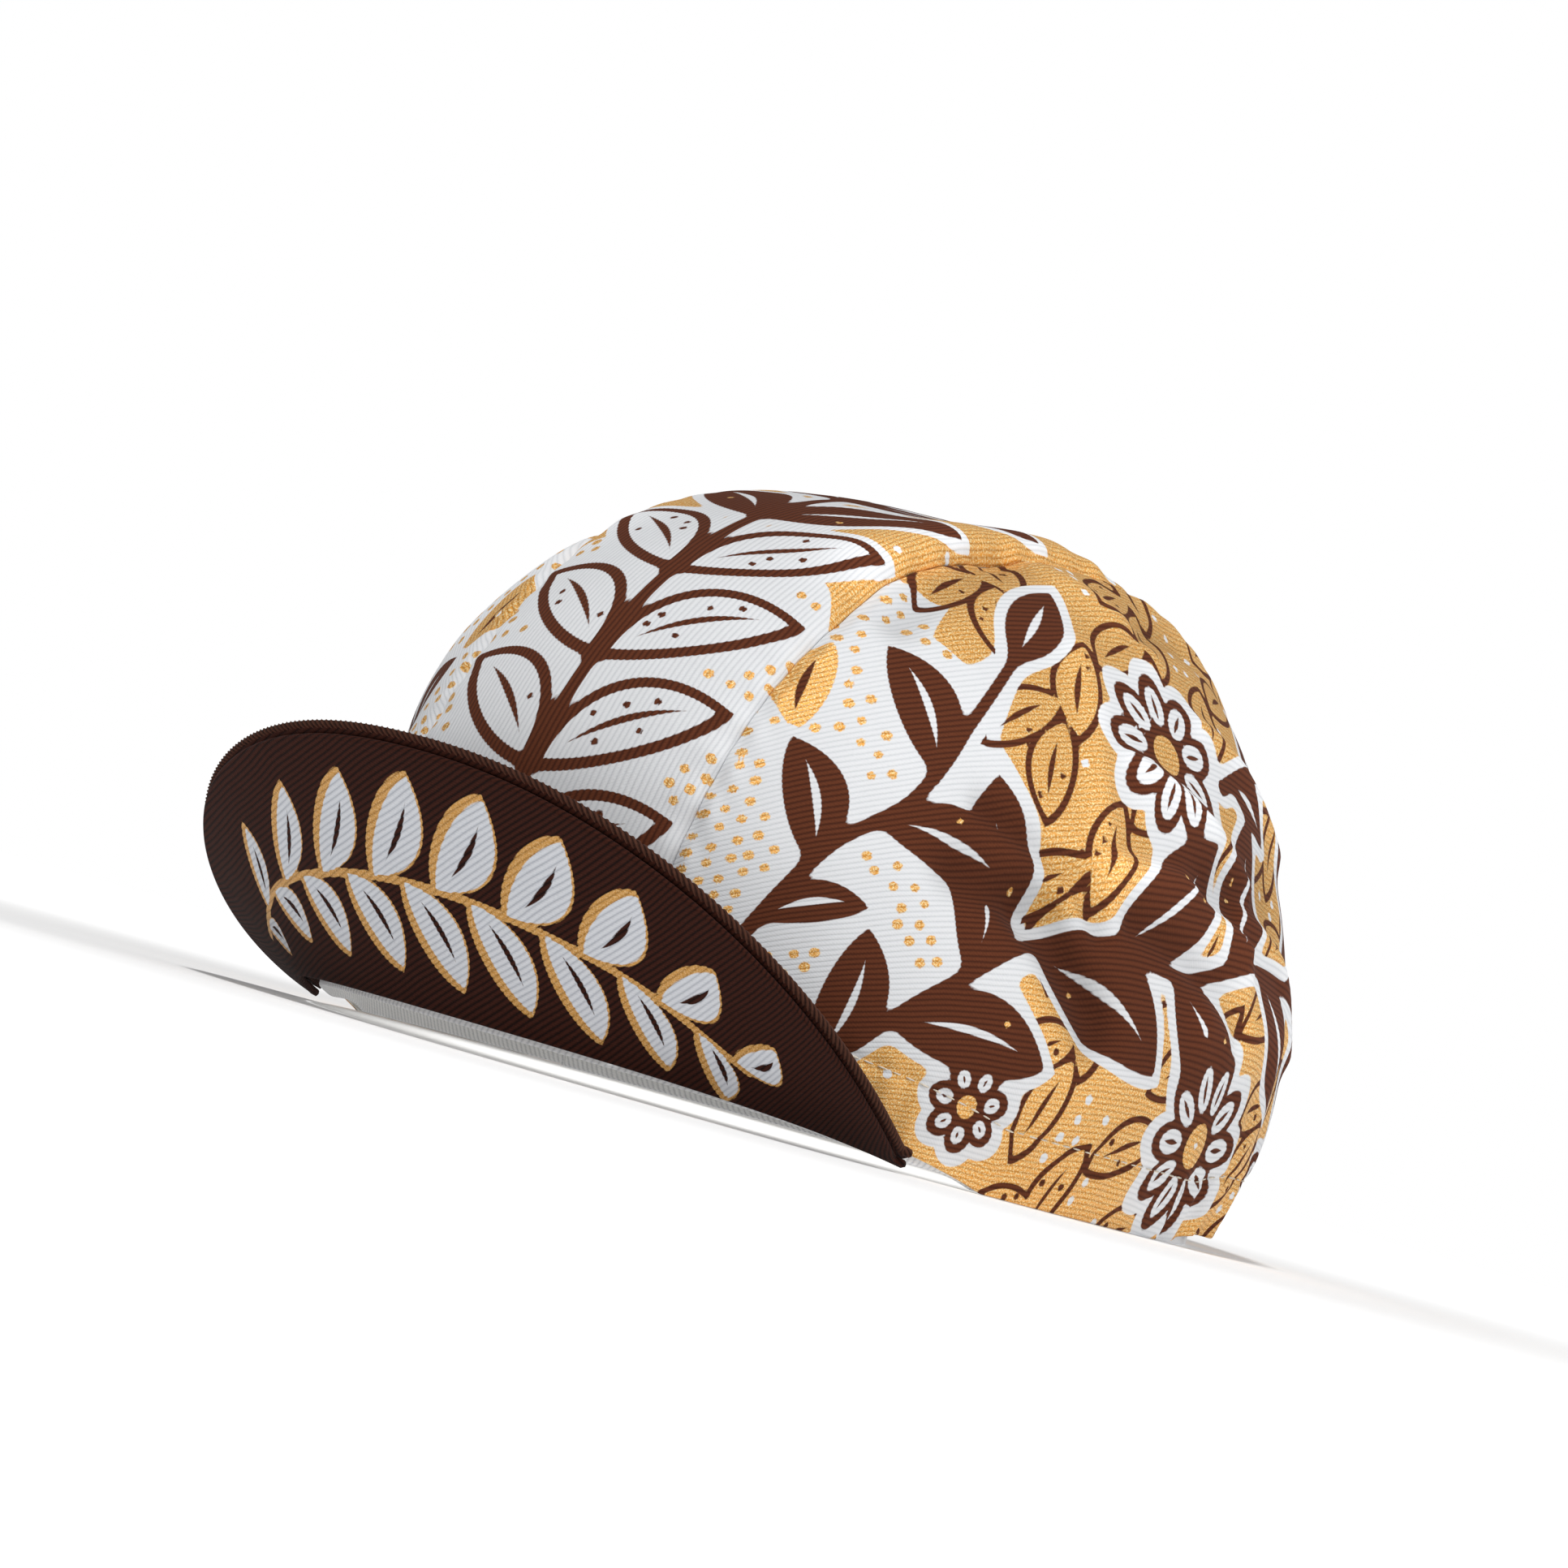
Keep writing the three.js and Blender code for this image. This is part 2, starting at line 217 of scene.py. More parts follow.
def smooth_point(directions):
    """The crown's outer surface without its gathers."""
    flat = directions * [1, 1, 0]
    d = unit(flat + np.maximum(directions, 0) * [0, 0, 1])
    azimuth, elevation = angles(d)
    upright = d[..., 2]
    in_plan = np.hypot(d[..., 0] / OPENING["half_width"], d[..., 1] / OPENING["half_length"])
    r = CROWN["roundness"]
    reach = (in_plan ** r + (upright / CROWN["height"]) ** r) ** (-1 / r)

    forward = np.cos(np.radians(azimuth))
    lengthways = np.where(forward > 0, SWELL["front"], SWELL["rear"])
    widest = SWELL["side"] * (1 - forward ** 2) + lengthways * forward ** 2
    climb = elevation / SWELL["elevation"]
    rise = (climb * np.exp(1 - climb)) ** SWELL["sharpness"]
    swelling = widest * rise * np.cos(np.radians(elevation))

    point = d * (reach + swelling + worn_height(d))[..., None]
    lift = CROWN["rear_lift"] * point[..., 1] * upright ** 2 / OPENING["half_length"]
    lift = lift - CROWN["top_sag"] * upright ** 6 + hem_rise(azimuth) * (1 - upright) ** 3
    return point + lift[..., None] * [0, 0, 1]


def crown_point(directions):
    """The crown's outer surface, gathered over the elastic."""
    gathers = gather_height(*angles(directions))
    return smooth_point(directions) + directions * gathers[..., None]


def surface_normal(surface, directions):
    """Outward normals of one of the two surfaces above."""
    step = 0.004
    around = unit(np.stack([-directions[..., 1], directions[..., 0], 0 * directions[..., 0]], axis=-1))
    upwards = unit(np.cross(directions, around))
    upwards = upwards * np.where(upwards[..., 2:] < 0, -1, 1)
    along = surface(unit(directions + around * step)) - surface(unit(directions - around * step))
    climb = surface(unit(directions + upwards * step)) - surface(directions)
    normal = unit(np.cross(along, climb))
    return normal * np.sign(np.sum(normal * directions, axis=-1, keepdims=True))


def seam_direction(share, side):
    """Directions along the seam beside the middle panel, from the front hem to the rear hem."""
    across = MIDDLE_HALF_WIDTH / OPENING["half_width"]
    r = CROWN["roundness"]
    rise = (1 - across ** r) ** (1 / r) * np.sin(np.pi * share)
    lengthways = np.sqrt(np.clip((1 - rise ** r) ** (2 / r) - across ** 2, 0, None))
    y = OPENING["half_length"] * lengthways * np.where(share < 0.5, -1, 1)
    return unit(np.stack([side * MIDDLE_HALF_WIDTH + 0 * share, y, CROWN["height"] * rise], axis=-1))


def run_lengths(points, axis):
    """Distance along one axis of a grid of points, from its first row."""
    steps = np.linalg.norm(np.diff(points, axis=axis), axis=-1)
    start = np.zeros_like(np.take(steps, [0], axis=axis))
    return np.concatenate([start, np.cumsum(steps, axis=axis)], axis=axis)


def seam_relief(distance, along):
    """How the cloth dips and puckers beside a seam."""
    dip = -SEAM["dip"] * np.exp(-((distance / SEAM["dip_width"]) ** 2))
    tuck = np.exp(-((distance / TUCK["width"]) ** 2) - ((along - TUCK["middle"]) / TUCK["length"]) ** 2)
    dip = dip - TUCK["depth"] * tuck
    wave = np.sin(2 * np.pi * along / SEAM["pucker_pitch"] + np.sin(along / 11))
    return dip + SEAM["pucker"] * wave * np.exp(-((distance / SEAM["pucker_width"]) ** 2))


def stitch_relief(directions):
    """How the line of stitches above the hem pulls the cloth in."""
    azimuth = angles(directions)[0]
    height = crown_point(directions)[..., 2] - hem_rise(azimuth)
    line = np.exp(-(((height - STITCH_LINE["height"]) / STITCH_LINE["width"]) ** 2))
    below = smoothstep(height, 0, STITCH_PUCKER["full_from"])
    below = below * (1 - smoothstep(height, STITCH_LINE["height"], STITCH_PUCKER["end"]))
    turn = azimuth * math.radians(OPENING["half_width"]) / STITCH_PUCKER["pitch"]
    pucker = STITCH_PUCKER["depth"] * np.sin(2 * np.pi * turn + np.sin(azimuth / 9)) * below
    return pucker - STITCH_LINE["dip"] * line


# The print: the bare cloth around a brown shape, half the width of a drawn line, and the rounding
# where brown shapes join.
MARGIN = 2.1
LINE_HALF = 0.6
JOINT = 2.4

# A leaf's vein: half its width, how far it keeps from its own leaf's edge and from a leaf that lies
# over it, and its start and its run in shares of the leaf's length, or of the flower's radius for a
# petal's vein. What is taken off the half width gives a vein its points.
VEIN = {"half": 0.7, "inset": 0.8, "clear": 0.6, "start": 0.15, "run": 0.68, "point": 0.25}
PETAL_VEIN = {"half": 0.7, "start": 0.38, "run": 0.4, "point": 0.2}

# A petal and a flower's heart, in shares of the flower's radius, with their brown edges in
# millimetres. A petal is a little wider than its share of the circle through the petals' middles.
PETAL = {"middle": 0.6, "half_length": 0.4, "plump": 1.12, "edge": 1.5}
HEART = {"radius": 0.24, "edge": 1.6}

# Half the width of a brown stem at its foot and at its tip. Its leaves turn away from it and bend
# back. The leaf at its tip is smaller than the one before, and starts a little below the tip.
STEM = {"half": 1.5, "tip_half": 0.9}
STEM_LEAF = {"turn": 46, "bend": 2.2, "plump": 0.43, "first": 5, "tip_share": 0.9, "tip_below": 2}

# Dots lie in staggered rows that are a share of their pitch apart, and each is moved by up to half
# of another share of it. The radius of a dot grows by chance. Each dot keeps away from the edges
# around it, and on some grounds only a share of the dots is drawn.
LATTICE = {"row": 0.87, "moved": 0.3}
DOTS = {"pitch": 4.2, "seeds": (5, 25), "radius": 0.92, "vary": 0.2, "room": 1.25}
DOTS_ON_OCHRE = {"nearest": 4, "furthest": 48, "room": 1.4, "share": 0.4}
DOTS_ON_BROWN = {"radius": 0.75, "from_edge": 2.2, "from_vein": 2, "from_bare": 3, "share": 0.3}
BROWN_DOTS = {"pitch": 3.3, "seeds": (8, 28), "radius": 0.7, "vary": 0.2, "share": 0.6}
ROOM_OF_BROWN_DOTS = {"in_drawn": 1.3, "to_brown": 1.2, "in_pale": 1.6, "to_heart": 3, "to_vein": 1.4}

# What is drawn on a side panel, in millimetres to the rear and up from its middle. Ochre starts
# behind a scalloped edge that leans, and reaches further forward below. Its slant makes distances
# to it shorter than they are along the panel. Towards the front and the top the ochre keeps a
# clearing around brown shapes. Leaves are drawn on it in brown lines, on a staggered grid, and one
# ochre leaf lies in front of it.
OCHRE_EDGE = {"place": -50, "lean": 0.2, "scallop": 7, "pitch": 21, "shift": 4, "slant": 0.8}
OCHRE_FOOT = {"reach": 34, "start": 12, "full": 36}
OCHRE_CLEARING = {"width": 6, "along": (-52, -32), "up": (-24, -8)}
DRAWN_LEAF = {"turns": (22, 66), "length": 21, "width": 9.5, "bend": 1.5, "thinner_vein": 0.15}
DRAWN_GRID = {"columns": (-3, 8), "rows": (-4, 5), "across": 20, "up": 15, "shift": -4, "front": -44}
OCHRE_LEAF = {"base": (-76, 38), "turn": 52, "length": 21, "width": 9.5, "bend": 2}
SPRAYS = [
    {"path": [(-104, -36), (-82, -31), (-58, -16), (-32, -5), (0, -9), (30, -3), (60, -3), (90, -16)],
     "spacing": 17.5, "lengths": [24, 30, 35, 38, 39, 39, 38, 36, 32, 28, 24]},
    {"path": [(-94, -2), (-77, 13), (-60, 20), (-45, 34), (-31, 47)],
     "spacing": 14.5, "lengths": [20, 26, 29, 27]},
    {"path": [(20, 28), (40, 35), (60, 30), (80, 14)], "spacing": 15, "lengths": [19, 24, 26, 24]},
]
FLOWERS = [
    {"centre": (0, 30), "radius": 16, "count": 9, "turn": 8},
    {"centre": (20, -36), "radius": 17, "count": 10, "turn": 4},
    {"centre": (-48, -37), "radius": 9, "count": 7, "turn": 10},
    {"centre": (76, -36), "radius": 12, "count": 8, "turn": 5},
]

# Along the middle panel runs a branch with leaves in pairs. From these shares of its length on, the
# cloth is ochre behind a scalloped edge, and the leaves are brown instead of drawn. The line
# around a drawn leaf reaches this far outwards and inwards.
BRANCH = {"half": 1.3, "first": 20, "spacing": 24, "last": 0.92}
BRANCH_LEAF = {"turn": 50, "length": 36, "width": 15, "bend": 3, "outwards": 0.6, "inwards": 1.6}
OCHRE_BEHIND = {"share": 0.27, "scallop": 8, "pitch": 16, "slant": 0.85}
BROWN_LEAVES_FROM = 0.3

# The garland on the peak, from the middle of its fold, with leaves above and below it by turns.
# They grow shorter towards its ends. The pale part of a leaf is shorter and narrower than the
# ochre one and lies a little aside, with an ochre edge around it. The stem's half width is last.
GARLAND = [(-64, 9), (-46, 18), (-23, 22.5), (0, 24), (23, 22.5), (46, 18), (64, 9)]
GARLAND_LEAF = {"count": 18, "ends": 3, "turn": 58, "lengths": (22, 25), "shorter": 10, "plump": 0.5,
                "bend": 2, "edge": 1}
PALE_LEAF = {"shorter": 1.2, "plump": 0.4, "aside": 0.9, "thinner_vein": 0.1}
GARLAND_HALF = 0.8

# What is drawn on a cloth, from the lowest layer to the top one, and what a mesh keeps of it.
LAYERS = ("gold", "line", "front", "heart", "bare", "vein", "vein_half", "dot", "brown_dot")
STORED_LAYERS = (*LAYERS, "fold")


class Print:
    """The layers as signed distances in millimetres that are below zero inside, and the folds' height."""

    def __init__(self, u, v):
        self.u, self.v = u, v
        for layer in LAYERS:
            setattr(self, layer, np.full(np.shape(u), FAR))
        self.vein_half = -self.vein_half
        self.fold = np.zeros(np.shape(u))

    def add(self, layer, shape):
        setattr(self, layer, np.minimum(getattr(self, layer), shape))

    def add_front(self, shape):
        """A brown shape with bare cloth around it, over what was drawn before. Its joints are rounded."""
        blend = np.clip(0.5 + 0.5 * (self.front - shape) / JOINT, 0, 1)
        self.front = self.front * (1 - blend) + shape * blend - JOINT * blend * (1 - blend)
        self.vein_half = np.minimum(self.vein_half, shape - MARGIN)
        self.bare = np.maximum(self.bare, -shape)
        self.heart = np.maximum(self.heart, -shape)

    def add_vein(self, shape, across, half):
        """A tapered line along the middle of a shape, kept as a distance and a half width."""
        inside = shape < 0
        self.vein = np.where(inside, across, self.vein)
        older = np.minimum(self.vein_half, shape - VEIN["clear"])
        self.vein_half = np.where(inside, np.minimum(half, -VEIN["inset"] - shape), older)


class Leaf:
    """A pointed leaf that grows from a base, bent sideways by some millimetres."""

    def __init__(self, cloth, base, turn, length, width, bend=0.0):
        c, s = math.cos(math.radians(turn)), math.sin(math.radians(turn))
        along = (cloth.u - base[0]) * c + (cloth.v - base[1]) * s
        across = (cloth.v - base[1]) * c - (cloth.u - base[0]) * s
        share = np.clip(along / length, 0, 1)
        radius = (length ** 2 + width ** 2) / (4 * width)
        self.across = across - bend * 4 * share * (1 - share)
        self.shape = np.hypot(along - length / 2, np.abs(self.across) + radius - width / 2) - radius
        bow = np.sin(np.pi * (share - VEIN["start"]) / VEIN["run"])
        self.vein_half = (VEIN["half"] + VEIN["point"]) * bow - VEIN["point"]


def smooth_path(points, steps=12):
    """A rounded path through a few points."""
    p = np.array([points[0], *points, points[-1]], float)
    t = np.linspace(0, 1, steps, endpoint=False)[:, None]
    parts = []
    for a, b, c, d in zip(p, p[1:], p[2:], p[3:]):
        parts.append(0.5 * (2 * b + (c - a) * t + (2 * a - 5 * b + 4 * c - d) * t ** 2
                            + (3 * b - a - 3 * c + d) * t ** 3))
    return np.concatenate([*parts, p[-1:]])


def stem(cloth, path, half, tip_half):
    """Signed distance to a stem along a path that grows thinner towards its tip."""
    nearest = np.full(np.shape(cloth.u), FAR)
    count = len(path) - 1
    for k, ((x0, y0), (x1, y1)) in enumerate(zip(path, path[1:])):
        dx, dy = x1 - x0, y1 - y0
        share = np.clip(((cloth.u - x0) * dx + (cloth.v - y0) * dy) / (dx * dx + dy * dy + 1e-9), 0, 1)
        thick = half + (tip_half - half) * (k + share) / count
        away = np.hypot(cloth.u - x0 - share * dx, cloth.v - y0 - share * dy)
        nearest = np.minimum(nearest, away - thick)
    return nearest


def along_path(path, distance):
    """The point and the heading, in degrees, at a distance along a path."""
    steps = np.hypot(*np.diff(path, axis=0).T)
    run = np.concatenate([[0], np.cumsum(steps)])
    k = min(int(np.searchsorted(run, distance, side="right")) - 1, len(steps) - 1)
    share = (distance - run[k]) / steps[k]
    heading = math.degrees(math.atan2(*(path[k + 1] - path[k])[::-1]))
    return path[k] + share * (path[k + 1] - path[k]), heading


def spray(cloth, path, spacing, lengths):
    """A brown stem with veined leaves at both sides by turns, and one at its tip."""
    path = smooth_path(path)
    size = STEM_LEAF
    leaves = []
    for k, length in enumerate(lengths):
        base, heading = along_path(path, size["first"] + k * spacing)
        way = 1 if k % 2 else -1
        turn, bend = heading + way * size["turn"], -way * size["bend"]
        leaves.append(Leaf(cloth, base, turn, length, length * size["plump"], bend))
    run = np.hypot(*np.diff(path, axis=0).T).sum()
    tip, heading = along_path(path, run - size["tip_below"])
    length = size["tip_share"] * lengths[-1]
    leaves.append(Leaf(cloth, tip, heading, length, length * size["plump"]))
    cloth.add_front(stem(cloth, path, STEM["half"], STEM["tip_half"]))
    for each in leaves:
        cloth.add_front(each.shape)
    for each in leaves:
        cloth.add_vein(each.shape, each.across, each.vein_half)


def flower(cloth, centre, radius, count, turn):
    """A round flower: bare petals with a brown edge and a short vein, around an ochre heart."""
    reach = np.hypot(cloth.u - centre[0], cloth.v - centre[1])
    sector = 2 * math.pi / count
    angle = np.arctan2(cloth.v - centre[1], cloth.u - centre[0]) - math.radians(turn)
    angle = (angle + sector / 2) % sector - sector / 2
    outwards, aside = reach * np.cos(angle), reach * np.sin(angle)
    middle, half_length = PETAL["middle"] * radius, PETAL["half_length"] * radius
    half_width = middle * math.tan(sector / 2) * PETAL["plump"]
    petal = np.hypot((outwards - middle) / half_length, aside / half_width) - 1
    petal = petal * min(half_length, half_width)
    heart = reach - HEART["radius"] * radius
    cloth.add_front(np.minimum(petal, reach - middle))
    cloth.add("bare", np.maximum(petal + PETAL["edge"], HEART["edge"] - heart))
    cloth.add("heart", heart)
    bow = np.sin(np.pi * (outwards / radius - PETAL_VEIN["start"]) / PETAL_VEIN["run"])
    cloth.add_vein(petal + PETAL["edge"], aside, PETAL_VEIN["half"] * bow - PETAL_VEIN["point"])


def scattered(seed, count):
    return np.random.default_rng(seed).random(count)


def lattice(u, v, pitch, seed):
    """Middles of dots in staggered rows over a cloth, each moved a little at random."""
    columns = np.arange(np.min(u) - pitch, np.max(u) + pitch, pitch)
    rows = np.arange(np.min(v) - pitch, np.max(v) + pitch, pitch * LATTICE["row"])
    x, y = np.meshgrid(columns, rows)
    x[1::2] += pitch / 2
    shift = (scattered(seed, x.size * 2).reshape(2, -1) - 0.5) * LATTICE["moved"] * pitch
    return x.ravel() + shift[0], y.ravel() + shift[1]


def add_dots(cloth, draw, dots, layer, choose):
    """Put whole round dots where a chooser gives them a radius."""
    place_seed, chance_seed = dots["seeds"]
    x, y = lattice(cloth.u, cloth.v, dots["pitch"], place_seed)
    radius = choose(draw(x, y), scattered(chance_seed, x.size))
    x, y, radius = x[radius > 0], y[radius > 0], radius[radius > 0]
    if not len(x):
        return
    tree = KDTree(len(x))
    for k, middle in enumerate(zip(x, y)):
        tree.insert((*middle, 0), k)
    tree.balance()
    nearest = np.array([tree.find((a, b, 0))[1] for a, b in zip(cloth.u.flat, cloth.v.flat)])
    nearest = nearest.reshape(cloth.u.shape)
    apart = (cloth.u - x[nearest]) ** 2 + (cloth.v - y[nearest]) ** 2
    setattr(cloth, layer, (apart - radius[nearest] ** 2) / (2 * radius[nearest]))


def choose_dots(cloth, chance):
    """Ochre dots on bare cloth, a few bare ones on ochre, and a few ochre ones on brown."""
    ochre, brown = DOTS_ON_OCHRE, DOTS_ON_BROWN
    size = DOTS["radius"] + DOTS["vary"] * chance
    room = np.minimum.reduce([cloth.front - MARGIN, np.abs(cloth.gold), np.abs(cloth.line)])
    on_white = (cloth.gold > 0) & (cloth.line > 0) & (room > DOTS["room"])
    on_gold = (cloth.gold < -ochre["nearest"]) & (cloth.gold > -ochre["furthest"]) & (cloth.line > 0)
    on_gold = on_gold & (room > ochre["room"]) & (chance < ochre["share"])
    beside = np.abs(cloth.vein) - cloth.vein_half
    on_brown = (cloth.front < -brown["from_edge"]) & (beside > brown["from_vein"])
    on_brown = on_brown & (cloth.bare > brown["from_bare"]) & (chance < brown["share"])
    return np.where(on_white | on_gold, size, np.where(on_brown, brown["radius"], 0))


def choose_brown_dots(cloth, chance):
    """Small brown dots in the drawn leaves, and in the pale ones."""
    dots, room = BROWN_DOTS, ROOM_OF_BROWN_DOTS
    in_drawn = (cloth.line < -room["in_drawn"]) & (cloth.front > MARGIN + room["to_brown"])
    in_pale = (cloth.bare < -room["in_pale"]) & (cloth.heart > room["to_heart"])
    beside = np.abs(cloth.vein) - cloth.vein_half
    kept = (in_drawn | in_pale) & (beside > room["to_vein"]) & (chance < dots["share"])
    return np.where(kept, dots["radius"] + dots["vary"] * chance, 0)


def side_print(u, v):
    """The drawing on a side panel. U runs from the front to the rear and v runs up."""
    cloth = Print(u, v)
    edge, grid, size = OCHRE_EDGE, DRAWN_GRID, DRAWN_LEAF
    scallop = np.abs(np.sin(np.pi * (v + edge["shift"]) / edge["pitch"]))
    foot = OCHRE_FOOT["reach"] * smoothstep(-v, OCHRE_FOOT["start"], OCHRE_FOOT["full"])
    start = edge["place"] - edge["scallop"] * scallop + edge["lean"] * v - foot
    cloth.add("gold", (start - u) * edge["slant"])
    for column in range(*grid["columns"]):
        for row in range(*grid["rows"]):
            base = ((column + row % 2 / 2) * grid["across"] + grid["shift"], row * grid["up"])
            if base[0] < grid["front"]:
                continue
            turn = size["turns"][(column + row) % 2]
            each = Leaf(cloth, base, turn, size["length"], size["width"], size["bend"])
            cloth.add("line", each.shape)
            cloth.add_vein(each.shape, each.across, each.vein_half - size["thinner_vein"])

    for each in SPRAYS:
        spray(cloth, **each)
    for each in FLOWERS:
        flower(cloth, **each)
    room = OCHRE_CLEARING
    clearing = room["width"] * (1 - smoothstep(u, *room["along"])) * smoothstep(v, *room["up"])
    cloth.gold = np.maximum(cloth.gold, clearing - (cloth.front - MARGIN))
    each = Leaf(cloth, **OCHRE_LEAF)
    cloth.add("gold", each.shape)
    cloth.add_vein(each.shape, each.across, each.vein_half)
    return cloth


def middle_print(u, v, length):
    """The drawing on the middle panel. U runs across it and v runs from the front hem to the rear."""
    cloth = Print(u, v)
    size = BRANCH_LEAF
    scallop = np.abs(np.sin(np.pi * u / OCHRE_BEHIND["pitch"]))
    edge = OCHRE_BEHIND["share"] * length + OCHRE_BEHIND["scallop"] * scallop
    cloth.add("gold", (edge - v) * OCHRE_BEHIND["slant"])
    cloth.add_front(np.abs(u) - BRANCH["half"])
    for start in np.arange(BRANCH["first"], BRANCH["last"] * length, BRANCH["spacing"]):
        for way in (-1, 1):
            turn = 90 - way * size["turn"]
            each = Leaf(cloth, (way, start), turn, size["length"], size["width"], way * size["bend"])
            if start > BROWN_LEAVES_FROM * length:
                cloth.add_front(each.shape)
            else:
                cloth.add_front(each.shape - size["outwards"])
                cloth.add("bare", each.shape + size["inwards"])
            cloth.add_vein(each.shape, each.across, each.vein_half)
    return cloth


def peak_print(u, v):
    """The drawing on the peak's under cover: a garland of pale leaves with an ochre edge, on brown."""
    cloth = Print(u, v)
    cloth.add("front", np.full(np.shape(u), -FAR))
    path = smooth_path(GARLAND)
    cloth.add("heart", stem(cloth, path, GARLAND_HALF, GARLAND_HALF))
    run = np.hypot(*np.diff(path, axis=0).T).sum()
    leaf, pale_leaf, last = GARLAND_LEAF, PALE_LEAF, GARLAND_LEAF["count"] - 1
    for k in range(leaf["count"]):
        base, heading = along_path(path, leaf["ends"] + k * (run - 2 * leaf["ends"]) / last)
        way = 1 if k % 2 else -1
        turn, bend = heading + way * leaf["turn"], -way * leaf["bend"]
        length = leaf["lengths"][k % 2] - leaf["shorter"] * abs(2 * k / last - 1) ** 2
        each = Leaf(cloth, base, turn, length, leaf["plump"] * length, bend)
        pale = Leaf(cloth, base + [pale_leaf["aside"], 0], turn, length - pale_leaf["shorter"],
                    pale_leaf["plump"] * length, bend)
        cloth.add("heart", each.shape)
        older = np.minimum(cloth.bare, each.shape + leaf["edge"])
        cloth.bare = np.where(each.shape < 0, pale.shape, older)
        cloth.add_vein(pale.shape, pale.across, pale.vein_half - pale_leaf["thinner_vein"])
    return cloth


def rounded_wall(name, outer, inner, uv, cloth=None):
    """A closed mesh of two faces with round rims, from grids of points in millimetres."""
    columns, rows = outer.shape[:2]
    ring = [(i, 0) for i in range(columns - 1)] + [(columns - 1, j) for j in range(rows - 1)]
    ring += [(i, rows - 1) for i in range(columns - 1, 0, -1)] + [(0, j) for j in range(rows - 1, 0, -1)]
    i, j = np.array(ring).T
    i_in, j_in = np.clip(i, 1, columns - 2), np.clip(j, 1, rows - 2)
    middle = (outer[i, j] + inner[i, j]) / 2
    half = outer[i, j] - middle
    away = unit(middle - (outer[i_in, j_in] + inner[i_in, j_in]) / 2)
    uv_away = unit(uv[i, j] - uv[i_in, j_in])

    count = columns * rows
    points = [outer.reshape(-1, 3), inner.reshape(-1, 3)]
    maps = [uv.reshape(-1, 2), uv.reshape(-1, 2)]
    for k in range(1, RIM_RINGS + 1):
        angle = math.pi * k / (RIM_RINGS + 1)
        points.append(middle + half * math.cos(angle) + away * RIM_BULGE * math.sin(angle))
        maps.append(uv[i, j] + uv_away * angle * RIM_BULGE)
    index = np.arange(count).reshape(columns, rows)
    a, b, c, d = index[:-1, :-1], index[1:, :-1], index[1:, 1:], index[:-1, 1:]
    faces = [np.stack([a, b, c, d], axis=-1).reshape(-1, 4)]
    faces.append(np.stack([a, d, c, b], axis=-1).reshape(-1, 4) + count)
    loops = [index[i, j]] + [2 * count + k * len(ring) + np.arange(len(ring)) for k in range(RIM_RINGS)]
    loops.append(index[i, j] + count)
    for one, two in zip(loops, loops[1:]):
        faces.append(np.stack([one, two, np.roll(two, -1), np.roll(one, -1)], axis=-1))
    is_back = [0, 1] + [int(2 * k > RIM_RINGS) for k in range(RIM_RINGS + 1)]
    slots = np.repeat(is_back, [len(f) for f in faces]).astype(np.int32)

    points, maps = np.concatenate(points), np.concatenate(maps)
    points[:, 1] += OPENING["centre_y"]
    faces = np.concatenate(faces)
    p, q, r = (points[faces[:, k]] for k in range(3))
    if np.einsum("ij,ij->i", p, np.cross(q, r)).sum() < 0:
        faces = faces[:, ::-1]
    mesh = bpy.data.meshes.new(name)
    mesh.from_pydata((points * MM).tolist(), [], faces.tolist())
    layer = mesh.uv_layers.new(name="cloth")
    layer.data.foreach_set("uv", maps[faces.ravel()].ravel())
    mesh.polygons.foreach_set("use_smooth", np.ones(len(faces), bool))
    mesh.polygons.foreach_set("material_index", slots)
    if cloth is not None:
        for layer in STORED_LAYERS:
            grid = getattr(cloth, layer)
            values = np.concatenate([grid.ravel(), grid.ravel()] + [grid[i, j]] * RIM_RINGS)
            attribute = mesh.attributes.new(layer, "FLOAT", "POINT")
            attribute.data.foreach_set("value", values.astype(np.float32))
    mesh.update()
    piece = bpy.data.objects.new(name, mesh)
    bpy.context.scene.collection.objects.link(piece)
    return piece


# The elevation of the middle of a side panel's print.
PRINT_MIDDLE = 35


